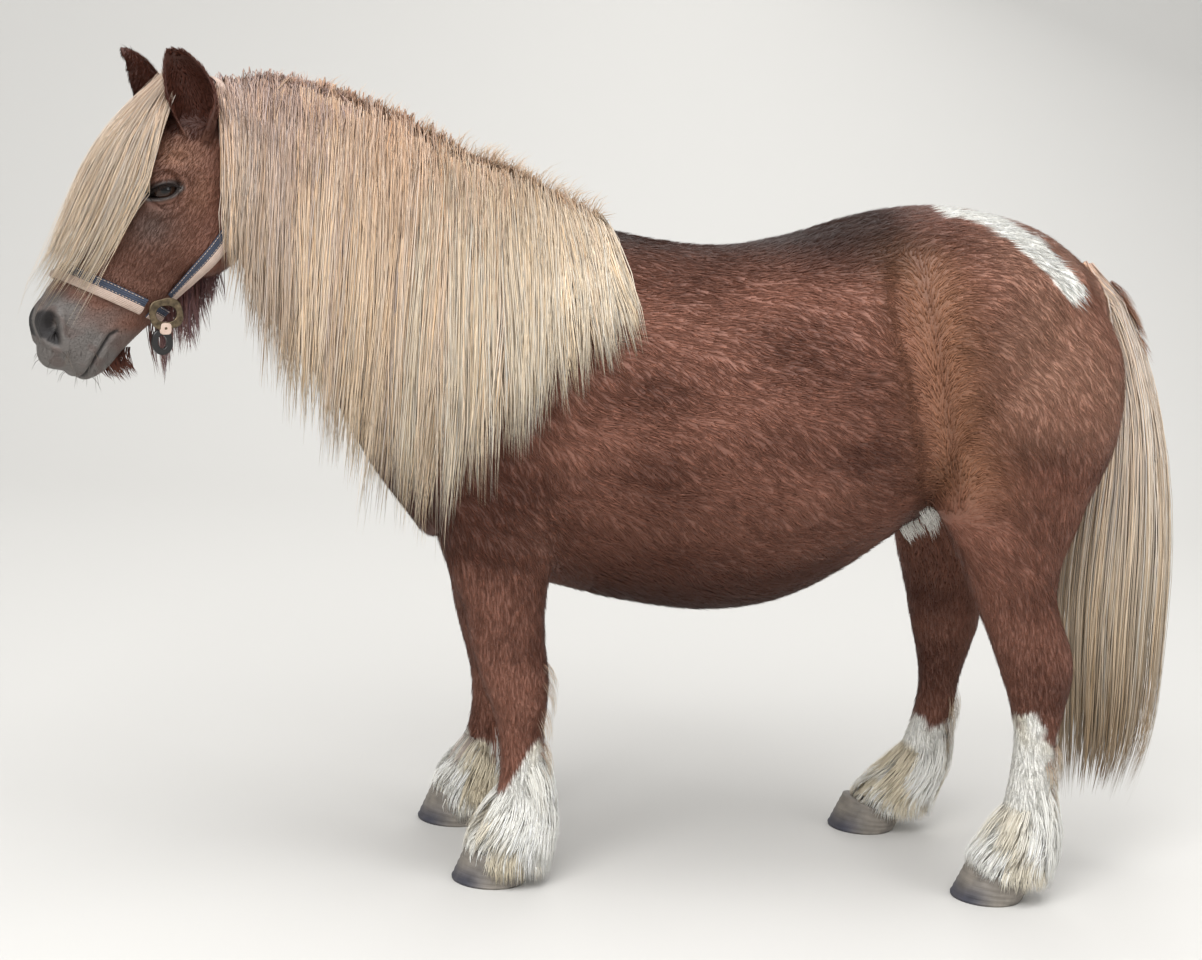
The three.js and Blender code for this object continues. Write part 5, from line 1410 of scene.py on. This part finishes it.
FITTING_X, FITTING_Z = -872, 788
OVER_COAT = 2.5 + 2 + 3 + 2.6  # coat, gap, webbing and half a plate, from the hide out to a plate's middle
for side, name in ((-1, "left"), (1, "right")):
    off = side_reach(side, FITTING_X, FITTING_Z, 48, 42) + OVER_COAT
    plate("fitting_" + name, side, FITTING_X, FITTING_Z, oval(47, 42, 4.0, 0.07), oval(30, 23, 2.3), off, 3.4,
          0, bronze, "halter_fitting_" + name)
jaw_off = side_reach(-1, FITTING_X, FITTING_Z, 48, 42) + 6.6
plate("jaw_ring", -1, FITTING_X - 3, FITTING_Z - 39, oval(30, 36, 2.2), oval(13, 19, 2.0),
      jaw_off, 6.4, 12, rubber)
ring_loop = plate("ring_loop", -1, FITTING_X, FITTING_Z - 20, oval(17, 17, 3.4), oval(3.2, 3.2, 2.0),
                  jaw_off + 1.6, 7.6, 0, peach_web)
buckle_off = side_reach(-1, -783, 926, 34, 26) + OVER_COAT
plate("buckle_frame", -1, -783, 926, oval(34, 26, 2.6), oval(26, 18, 2.4), buckle_off, 3.2, 60, nickel,
      "halter_buckle_left")


# Mane and forelock
# Locks of long coarse hair, ash pink behind the ears and pale blond at the withers. Each lock is a bundle of
# strands that leave the crest or the poll side by side and draw together to a soft point.
def cast(origin, way):
    """First hit of a ray on the hide, in drawn millimetres, or None."""
    place = hide_tree.ray_cast(Vector(origin), Vector(way))[0]
    return None if place is None else np.array(place)


PATH_POINTS = 60  # places along a lock's path while it is being smoothed


def smooth_path(points, count):
    """A list of places turned into `count` evenly spread ones on a soft curve."""
    points = np.array(points, float)
    run = run_of(points)
    curve = each_axis(np.linspace(0, run[-1], PATH_POINTS), run, points)
    for _ in range(12):
        curve[1:-1] = (curve[:-2] + 2 * curve[1:-1] + curve[2:]) / 4
    return each_axis(np.linspace(0, PATH_POINTS - 1, count), np.arange(PATH_POINTS), curve)


def bundle(guide, out, strands, spread, depth, draw, gather=0.6, ragged=0.16, wave=2.0):
    """Strands of one lock along a guide: spread over its width at the root and drawn together at the tip."""
    steps = len(guide)
    along = unit(np.gradient(guide, axis=0))
    out = np.broadcast_to(np.asarray(out, float), guide.shape)
    out = unit(out - along * (out * along).sum(1)[:, None])
    side = np.cross(along, out)
    t = np.linspace(0, 1, steps)
    across = draw.uniform(-1, 1, strands)
    deep = draw.uniform(0, 1, strands)
    reach = 1 - ragged * draw.random(strands) ** 1.5
    close = 1 - gather * t ** 1.3
    phase = draw.uniform(0, 6.28, strands)
    sway = wave * np.sin(t[None] * draw.uniform(3, 8, strands)[:, None] + phase[:, None]) * t[None]
    lift = depth * (deep[:, None] * close[None] ** 0.5) + 0.4 * sway
    shift = across[:, None] * spread / 2 * close[None] + sway
    pick = t[None] * reach[:, None] * (steps - 1)
    base, sides, outs = (each_axis(pick, np.arange(steps), line) for line in (guide, side, out))
    return base + sides * shift[:, :, None] + outs * lift[:, :, None], sides


class LongHair:
    """Gathers the strands of many locks, and makes them into one piece."""

    def __init__(self, steps):
        self.steps = steps
        self.paths, self.sides, self.widths, self.colours, self.uvs = [], [], [], [], []

    def lock(self, guide, out, strands, spread, depth, draw, width, colour_of, uv, **shape):
        paths, sides = bundle(guide, out, strands, spread, depth, draw, **shape)
        t = np.linspace(0, 1, self.steps)
        thickness = width * draw.uniform(0.7, 1.3, strands)[:, None] * (1 - 0.55 * t[None] ** 2)
        self.paths.append(paths)
        self.sides.append(sides)
        self.widths.append(thickness)
        self.colours.append(colour_of(t, strands, draw))
        self.uvs.append(np.array(uv) + draw.uniform(-0.004, 0.004, (strands, 2)))

    def piece(self, name, material, slot, lift_clear=None):
        paths = np.concatenate(self.paths)
        if lift_clear is not None:
            lift_clear(paths)
        widths = np.concatenate(self.widths)
        uvs = np.clip(np.concatenate(self.uvs), 0.004, 0.996)
        made = hair_piece(name, paths, np.concatenate(self.sides), widths, widths * 0.28,
                          np.concatenate(self.colours), uvs, material)
        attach(made, "root")
        return made


def clear_of_hide(least):
    """Pushes any point that has sunk into the hide back out of it, except near the roots."""
    def push(paths):
        flat = paths[:, 1:].reshape(-1, 3)
        for i, p in enumerate(flat.tolist()):
            place, normal, _, _ = hide_tree.find_nearest(p, 30)
            if place is not None:
                high = (Vector(p) - place).dot(normal)
                if high < least:
                    flat[i] += np.array(normal) * (least - high)
        paths[:, 1:] = flat.reshape(paths[:, 1:].shape)
    return push


def graded(*stops):
    """A function that gives each strand its colours from root to tip, with its own lightness."""
    places = [s[0] for s in stops]
    colours = np.array([linear(*s[1]) for s in stops])

    def paint(t, strands, draw):
        run = np.stack([np.interp(t, places, colours[:, k]) for k in range(3)], 1)
        own = draw.normal(1, 0.075, (strands, 1, 1)) * draw.normal(1, 0.045)
        warm = 1 + draw.normal(0, 0.05, (strands, 1, 1)) * np.array((1.0, 0.1, -1.2))
        return run[None] * own * warm
    return paint


long_material = hair_material("flaxen_long_hair", 0.45, (260.0, 260.0, 30.0), 0.36)
MANE_FRONT, MANE_BACK = -784.0, -232.0
MANE_TOP = ((-784, 1096), (-767, 1114), (-729, 1127), (-673, 1128), (-588, 1109), (-514, 1084), (-442, 1048),
            (-354, 1021), (-294, 990), (-232, 958))
MANE_TIPS = ((-784, 850), (-751, 812), (-728, 752), (-698, 700), (-655, 648), (-598, 586), (-536, 526),
             (-470, 478), (-408, 560), (-343, 640), (-291, 716), (-239, 770), (-201, 840))
ASH_PINK = graded((0, (146, 112, 102)), (0.1, (176, 148, 136)), (0.4, (200, 176, 160)), (1, (216, 196, 174)))
GOLDEN = graded((0, (134, 90, 68)), (0.06, (172, 132, 108)), (0.2, (212, 182, 156)), (1, (236, 216, 190)))
BLOND = graded((0, (140, 96, 74)), (0.06, (172, 138, 112)), (0.24, (206, 184, 158)), (1, (234, 220, 198)))
MANE_DROPS = (0.0, 0.04, 0.1, 0.2, 0.35, 0.52, 0.7, 0.86, 1.0)
MANE_SWEEP = ((-784, 32), (-762, 14), (-700, 5), (-500, -4), (-400, 6), (-320, 22), (-232, 46))
MANE_STEPS = 7
MANE_LAYERS = {  # side: locks, lift off the neck, share of the full length, strands, width of a strand
    -1: ((54, 1, 0.9, 24, 2.3), (72, 8, 0.97, 26, 2.3), (86, 15, 1.0, 24, 1.4)),
    1: ((34, 2, 0.5, 20, 2.3), (40, 9, 0.56, 20, 2.3)),
}


def crest_point(x):
    """The top of the neck at a place along it."""
    hit = cast((x, -8 if x < -600 else 0, 1400), (0, 0, -1))
    return hit if hit is not None else np.array((x, 0, 1100))


def mane_guide(x, side, lift, share, draw, steps):
    """A lock's path: up out of the crest, over it, and straight down the side of the neck."""
    top = crest_point(x)
    z0 = max(top[2] + 9, line_at(MANE_TOP, x)) + lift * 0.4 + draw.uniform(-4, 3)
    length = (z0 - line_at(MANE_TIPS, x)) * share * draw.uniform(0.93, 1.05)
    back = line_at(MANE_SWEEP, x) + draw.normal(0, 12 if x > -700 else 4)
    curl = draw.uniform(0, 6.28)
    path = [top - (0, 0, 12), top + (0, side * -3, (z0 - top[2]) * 0.6)]
    reach = 2.0
    for drop in MANE_DROPS:
        z = z0 - length * drop
        ease = min(1, 2.2 * drop * share) if x < -700 else (drop * share) ** 1.3
        xx = x + back * ease + 8 * math.sin(drop * 5 + curl) * drop
        hit = cast((xx, side * 900, z), (0, -side, 0)) if z < top[2] + 4 else None
        wanted = (side * hit[1] if hit is not None else -50) + 7 + lift
        reach = max(wanted, reach - 3, 2 + 110 * min((z0 - z) / 400, 0.16))
        path.append(np.array((xx, side * reach, z)))
    return smooth_path(path, steps)


def mane_tint(x, share, draw):
    """The mane's colour: ash pink behind the ears, golden half way, pale blond towards the withers."""
    at_x = x + draw.normal(0, 45)
    tint = ASH_PINK if at_x < -640 else GOLDEN if at_x < -470 or draw.random() < 0.15 else BLOND
    return lambda t, strands, own_draw: tint(t * share + 0.02, strands, own_draw)


mane_draw = np.random.default_rng(41)
for side, name in ((-1, "mane_near"), (1, "mane_far")):
    mane_hair = LongHair(MANE_STEPS)
    for count, lift, share, strands, width in MANE_LAYERS[side]:
        for i in range(count):
            u = min(1, max(0, (i + mane_draw.uniform(-0.3, 1.3)) / count))
            x = MANE_FRONT + (MANE_BACK - MANE_FRONT) * u
            guide = mane_guide(x, side, lift + mane_draw.uniform(-3, 4), share, mane_draw, MANE_STEPS)
            uv = (0.02 + 0.96 * u, 0.5 + side * 0.2 + lift * 0.008)
            mane_hair.lock(guide, (0, side, 0.12), strands, 26, 8, mane_draw, width,
                           mane_tint(x, share, mane_draw), uv, gather=mane_draw.uniform(-0.1, 0.7),
                           ragged=0.3, wave=4.5 if x > -640 else 6.5)
    mane_hair.piece(name, long_material, "flaxen_hair", clear_of_hide(2.0))

# The shortest hair of the crest lies over the rest of the mane, and some of it stands up.
CREST_LOCKS, STANDING_LOCKS = 190, 260
crest_hair = LongHair(5)
for i in range(CREST_LOCKS):
    u = (i + mane_draw.random()) / CREST_LOCKS
    x = MANE_FRONT + (MANE_BACK - MANE_FRONT) * u
    share = mane_draw.uniform(0.12, 0.5)
    guide = mane_guide(x, -1 if i % 5 else 1, mane_draw.uniform(12, 21), share, mane_draw, 5)
    crest_hair.lock(guide, (0, -1, 0.3), 12, 26, 8, mane_draw, 1.3, mane_tint(x, share, mane_draw),
                    (0.02 + 0.96 * u, 0.5), gather=-0.2, ragged=0.5, wave=5.0)
for _ in range(STANDING_LOCKS):
    u = mane_draw.random() ** 0.7
    x = MANE_FRONT + (MANE_BACK - MANE_FRONT) * u
    top = crest_point(x)
    rise = max(12, line_at(MANE_TOP, x) - top[2]) + mane_draw.uniform(-4, 8 + 20 * u)
    slant, lean = mane_draw.uniform(-4, 18 + 22 * u), mane_draw.uniform(-10, 12)
    guide = smooth_path([top - (0, 0, 6), top + (0, lean * 0.2, rise * 0.4),
                         top + (slant * 0.4, lean * 0.6, rise * 0.8), top + (slant, lean, rise)], 5)
    crest_hair.lock(guide, (0, -1, 0.1), 5, 16, 6, mane_draw, 0.8, mane_tint(x, 0.22, mane_draw),
                    (0.02 + 0.96 * u, 0.5), gather=-0.4, ragged=0.5, wave=2.5)
crest_hair.piece("mane_crest", long_material, "flaxen_hair")

# The forelock falls from the poll over the brow and both sides of the face, its wisps to below the noseband.
FORELOCK_TINT = graded((0, (150, 112, 90)), (0.12, (186, 156, 134)), (0.5, (212, 190, 168)),
                       (1, (220, 202, 178)))
FORELOCK_STEPS = 9
FORELOCK_WIDTHS = (2.1, 1.9, 1.3, 0.9)  # of a strand, from the lowest layer to the wisps
FORELOCK_DROPS = (0.0, 0.12, 0.26, 0.4, 0.55, 0.7, 0.85, 1.0)
FORELOCK_TOP = 1078
FACE_AXIS = ((700, -985), (1060, -800), (1130, -790))
forelock_hair = LongHair(FORELOCK_STEPS)


def face_place(turn, z, lift):
    """A place in front of the face, at a turn from straight ahead (minus is the near side) and a height."""
    axis = np.array((line_at(FACE_AXIS, z), 0.0, z))
    way = np.array((-math.cos(turn), math.sin(turn), 0.25 * math.cos(turn)))
    way /= np.linalg.norm(way)
    hit = cast(turned(axis + way * 250), turned(axis) - turned(axis + way))
    reach = 40.0 if hit is None else float(np.linalg.norm(unturned(hit) - axis))
    return axis + way * (reach + lift)


forelock_draw = np.random.default_rng(63)
for layer, width in enumerate(FORELOCK_WIDTHS):
    wisps = layer == 3  # a few long thin wisps that hang over the noseband
    count = 9 if wisps else 17
    for i in range(count):
        across = -1 + 2 * (i + forelock_draw.uniform(0.25, 0.75)) / count
        wide = math.radians(68 if across < 0 else 66)
        tip = 786 + 62 * max(0, across) + forelock_draw.uniform(-26, 30) + 5 * layer
        tip -= forelock_draw.uniform(20, 90) if wisps else 0
        low = 14 * max(0, -across - 0.4)
        path = [(-798, 7 + 10 * across, 1090 - low), (-820, 6 + 12 * across, 1116 + 5 * layer - low),
                (-856, 4 + 18 * across, 1118 + 5 * layer - low)]
        for drop in FORELOCK_DROPS:
            z = FORELOCK_TOP + (tip - FORELOCK_TOP) * drop
            turn = across * wide * min(1, 0.38 + drop * 1.3) * (1 - 0.3 * drop)
            front = math.cos(turn) * (19 - 8 * drop + 8 * math.sin(math.pi * min(1, drop * 1.15)))
            path.append(face_place(turn, z, 6 + 4 * min(layer, 2) + front))
        guide = smooth_path([turned(place) for place in path], FORELOCK_STEPS)
        middles = np.stack([line_at(FACE_AXIS, guide[:, 2]), np.zeros(FORELOCK_STEPS), guide[:, 2]], 1)
        forelock_hair.lock(guide, unit(guide - turned(middles)), 7 if wisps else 26, 23, 6, forelock_draw,
                           width, FORELOCK_TINT, (0.5 + 0.4 * across, 0.2 + 0.2 * layer),
                           gather=forelock_draw.uniform(0, 0.6), ragged=0.4, wave=3.0)
forelock_hair.piece("forelock", long_material, "flaxen_hair", clear_of_hide(1.5))

# Tail
# Long pale hair that grows all round the short bony dock and hangs to the fetlocks, fullest at half its height
# and darker towards the ends. It is set on in three layers, the innermost first.
TAIL_MIDDLE = ((110, 604), (200, 614), (300, 608), (420, 601), (490, 600), (660, 596), (780, 582), (880, 553),
               (930, 530), (960, 508))
TAIL_HALF = ((110, 50), (180, 68), (300, 77), (490, 81), (660, 60), (780, 40), (880, 27), (930, 18), (960, 10))
TAIL_TINT = graded((0, (196, 164, 144)), (0.06, (224, 204, 186)), (0.3, (234, 217, 198)),
                   (0.65, (214, 196, 172)), (1, (150, 128, 102)))
TAIL_STEPS = 12
TAIL_LAYERS = ((0.3, 12, 22, 3.0), (0.65, 22, 24, 3.0), (1.0, 36, 24, 1.9))  # reach, locks, strands, width
tail_hair = LongHair(TAIL_STEPS)
tail_draw = np.random.default_rng(52)
for layer, count, strands, width in TAIL_LAYERS:
    for i in range(count):
        around = 2 * math.pi * (i + tail_draw.uniform(0.1, 0.9)) / count
        start_z = 700 + 240 * tail_draw.random() ** 0.5
        end_z = tail_draw.uniform(98, 150) + 40 * (1 - layer)
        path = [(line_at(TAIL_MIDDLE, start_z) - 26, 0, start_z - 2)]
        for share in np.linspace(0, 1, TAIL_STEPS):
            z = start_z + (end_z - start_z) * share
            spread = layer * min(1, 0.35 + share * 3)
            half = line_at(TAIL_HALF, z)
            path.append((line_at(TAIL_MIDDLE, z) + math.cos(around) * half * spread,
                         math.sin(around) * half * spread * 0.8, z))
        tail_hair.lock(smooth_path(path, TAIL_STEPS), (math.cos(around), math.sin(around), 0.01), strands,
                       28, 10, tail_draw, width, TAIL_TINT, (around / 6.3, 0.2 + 0.6 * layer),
                       gather=tail_draw.uniform(-0.1, 0.4), ragged=0.22, wave=4.5)
tail_piece = tail_hair.piece("tail_hair", long_material, "flaxen_hair")
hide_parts("tail")

# Short hair of the rump's own colour runs out over the dock.
DOCK_TINT = graded((0, (116, 76, 58)), (0.6, (152, 110, 88)), (1, (190, 158, 136)))
dock_hair = LongHair(5)
for i in range(40):
    around = tail_draw.uniform(-1.0, 1.0)
    z = 915 - 78 * tail_draw.random()
    drop = tail_draw.uniform(30, 58)
    way = np.array((math.cos(around), math.sin(around) * 0.8, 0))
    path = []
    for share, off in ((-0.1, -15), (0.15, -4), (0.6, 4), (1.0, 10)):
        low = z - drop * share
        path.append(np.array((line_at(TAIL_MIDDLE, low), 0, low)) + way * (line_at(TAIL_HALF, low) + off))
    dock_hair.lock(smooth_path(path, 5), way, 14, 16, 5, tail_draw, 1.1, DOCK_TINT,
                   (around / 6.3 + 0.5, (z - 780) / 200), gather=0.2, ragged=0.5, wave=3.0)
dock_hair.piece("dock_hair", coat_material, "coat")

# Beard and chin tuft
# Winter hair that hangs in dark plum locks from between the jawbones, and a shorter red-brown tuft under the
# chin. Both grow from the skin under the head.
BEARD_TINT = graded((0, (94, 56, 50)), (0.4, (116, 82, 80)), (1, (140, 110, 108)))
CHIN_TINT = graded((0, (78, 44, 34)), (1, (104, 62, 48)))
beard_hair = LongHair(6)
for i in range(46):
    share = tail_draw.random()
    side = -1 if i % 2 else 1
    root = np.array((-778 - 84 * share, side * tail_draw.uniform(4, 24), 885 - 92 * share))
    length = tail_draw.uniform(62, 88) + 26 * share
    guide = smooth_path(turned([root + (-4, 0, 14), root, root + (4, side * 2, -length * 0.5),
                                root + (tail_draw.uniform(2, 20), side * 3, -length)]), 6)
    beard_hair.lock(guide, (0, side, 0.1), 14, 20, 5, tail_draw, 1.25, BEARD_TINT,
                    (0.1 + 0.7 * share, 0.3 + 0.2 * side), gather=0.6, ragged=0.4, wave=2.5)
for i in range(10):
    side = -1 if i % 2 else 1
    root = np.array((tail_draw.uniform(-950, -905), side * tail_draw.uniform(2, 16), 724))
    length = tail_draw.uniform(24, 40)
    guide = smooth_path(turned([root + (0, 0, 12), root, root + (10, 0, -length * 0.6),
                                root + (22, 0, -length)]), 6)
    beard_hair.lock(guide, (0, side, 0.1), 20, 16, 5, tail_draw, 1.1, CHIN_TINT,
                    (0.9, 0.3 + 0.2 * side), gather=0.6, ragged=0.4, wave=1.5)
beard_hair.piece("beard", coat_material, "coat")

# Lashes and whiskers
# Dark lashes stand in a row along the upper lids, and thin stiff whiskers on the lips and chin. They are single
# hairs and not locks.
DARK_HAIR = graded((0, (34, 25, 22)), (1, (26, 20, 18)))
WHISKER = graded((0, (70, 62, 58)), (1, (120, 112, 104)))
single = {"gather": 0.0, "ragged": 0.0, "wave": 0.0}
fine_hair = LongHair(5)
LASH_ROOT = 22.5  # from the middle of the eyeball to a lash's root
for side in (-1, 1):
    centre, along, up_way, out = eye_frame(side)
    for a in np.radians(np.linspace(22, 152, 40)):
        u, v = EYE_HALF * math.cos(a) + OPENING[0], EYE_UP * math.sin(a) ** 1.15 + OPENING[1]
        edge = centre + along * u + up_way * v + out * math.sqrt(LASH_ROOT ** 2 - u * u - v * v)
        fan = along * u * 0.12
        guide = smooth_path(turned([edge - out * 2, edge + out * 3.5, edge + out * 8 - up_way * 1.5 + fan,
                                    edge + out * 11.5 - up_way * 5 + fan * 2]), 5)
        fine_hair.lock(guide, (0, side, 0.1), 2, 1.0, 0.6, tail_draw, 0.75, DARK_HAIR,
                       (0.3 + 0.2 * side + 0.01 * u, 0.2), **single)
    for _ in range(22):
        x, z = tail_draw.uniform(-1028, -935), tail_draw.uniform(690, 735)
        hit = head_cast(np.array((x, side * 300, z)), np.array((0, -side, 0)))
        if hit is None:
            continue
        long = tail_draw.uniform(16, 38)
        way = unit(np.array((tail_draw.uniform(-0.7, 0.3), side, -0.4)))
        guide = smooth_path(turned([hit - way * 2, hit + way * long * 0.5,
                                    hit + way * long - (0, 0, long * 0.3)]), 5)
        fine_hair.lock(guide, (0, side, 0.1), 1, 0, 0, tail_draw, 0.6, WHISKER,
                       (0.7 + 0.2 * side, 0.1 + (z - 690) / 200), **single)
fine_hair.piece("lashes_and_whiskers", coat_material, "coat")

# Feather and groin
# Long soft white hair, stained cream near the ground, covers the fetlock and the upper hoof and runs up the
# back of each leg in a thinner fringe. A few soft white locks hang in the groin.
LEGS = (  # the leg's table, and the height that its fringe reaches
    (FORELEG, 330), (far_side(FORELEG, FAR_FORE_STEP), 330),
    (HINDLEG, 240), (far_side(HINDLEG, FAR_HIND_STEP), 240),
)
FEATHER_LOCKS = 220  # to a leg; every sixth of them is in the fringe
COLUMN_TOP = 340.0  # the locks' roots are all below this height


def own_colour(root, gain):
    """Hair of the colour that the coat has at its root, a little lighter towards the tip."""
    colour = coat_colour(np.array([root]))[0] * gain

    def paint(t, strands, draw):
        own = draw.normal(1, 0.05, (strands, 1, 1))
        return colour[None, None] * own * (0.92 + 0.12 * t)[None, :, None]
    return paint


PALE_FRINGE = graded((0, (150, 112, 92)), (0.3, (188, 168, 146)), (1, (222, 210, 188)))


def feather_lock(hair, leg, fringe):
    """One lock of the long hair round a fetlock, or of the fringe up the back of the leg."""
    table, fringe_top = LEGS[leg]
    centre_y = table[-1][5]
    middles = sorted(((row[1] + row[3]) / 2, (row[0] + row[2]) / 2) for row in table)
    behind = fringe or tail_draw.random() < 0.35
    angle = math.radians(tail_draw.normal(0, 28 if fringe else 55) if behind else tail_draw.uniform(-180, 180))
    rear = max(0, math.cos(angle))
    z0 = tail_draw.uniform(150, fringe_top) if fringe else 46 + (90 + 56 * rear) * tail_draw.random() ** 1.35
    low = (5 if leg < 2 else 20) + 20 * max(0, -math.cos(angle)) ** 0.7
    drop = min(z0 - low, (54 + 26 * rear) * tail_draw.uniform(0.75, 1.25)) * (0.6 if fringe else 1)
    swell = 4 + 7 * rear if fringe else 6 + 10 * math.exp(-((z0 - drop * 0.5 - 70) / 34) ** 2) + 8 * rear
    way = np.array((math.cos(angle), math.sin(angle), 0))
    path = []
    offs = (-3, 0.45 * swell, 0.9 * swell, swell, 0.8 * swell)
    for share, off in zip((-0.08, 0.08, 0.4, 0.72, 1.0), offs):
        z = z0 - share * drop
        cx = line_at(middles, max(z, 46))
        hit = cast(np.array((cx, centre_y, max(z, 50))) + way * 200, -way)
        reach = 46 if hit is None else np.hypot(hit[0] - cx, hit[1] - centre_y)
        flare = 9 * max(0, 1 - z / 56)  # over the hoof
        path.append(np.array((cx, centre_y, z)) + way * (min(reach, 66) + off + flare))
    guide = smooth_path(path, 4)
    root = guide[0] + (0, 0, 0 if fringe else -14)
    colour_of = PALE_FRINGE if fringe and root[2] > 150 else own_colour(root, 1.02)
    uv = ((leg + 0.5 + 0.4 * math.sin(angle)) / 4, 0.05 + 0.9 * z0 / COLUMN_TOP)
    strands, width = (7, 0.85) if fringe else (17, 1.45)
    hair.lock(guide, way, strands, 24, 5, tail_draw, width, colour_of, uv,
              gather=tail_draw.uniform(-0.3, 0.35), ragged=0.5, wave=2.2)


def groin_tint(t, strands, draw):
    return np.tile(WHITE_HAIR, (strands, len(t), 1)) * draw.normal(0.92, 0.06, (strands, 1, 1))


groin_hair = LongHair(5)
for i in range(26):
    side = -1 if i % 2 else 1
    root = cast((tail_draw.uniform(228, 285), side * tail_draw.uniform(60, 130), 100), (0, 0, 1))
    drop = tail_draw.uniform(24, 46)
    guide = smooth_path([root + (0, 0, 8), root, root + (8, side * 2, -drop * 0.5), root + (18, 0, -drop)], 5)
    groin_hair.lock(guide, (0.2, side, 0), 16, 22, 6, tail_draw, 1.2, groin_tint, (0.5 + 0.02 * side * i, 0.5),
                    gather=0.3, ragged=0.5, wave=3.0)
groin_hair.piece("groin_hair", white_material, "white_hair")

for name, legs in (("feather_fore", (0, 1)), ("feather_hind", (2, 3))):
    feather_hair = LongHair(4)
    for leg in legs:
        for i in range(FEATHER_LOCKS):
            feather_lock(feather_hair, leg, i % 6 == 5)
    feather_hair.piece(name, white_material, "white_hair")
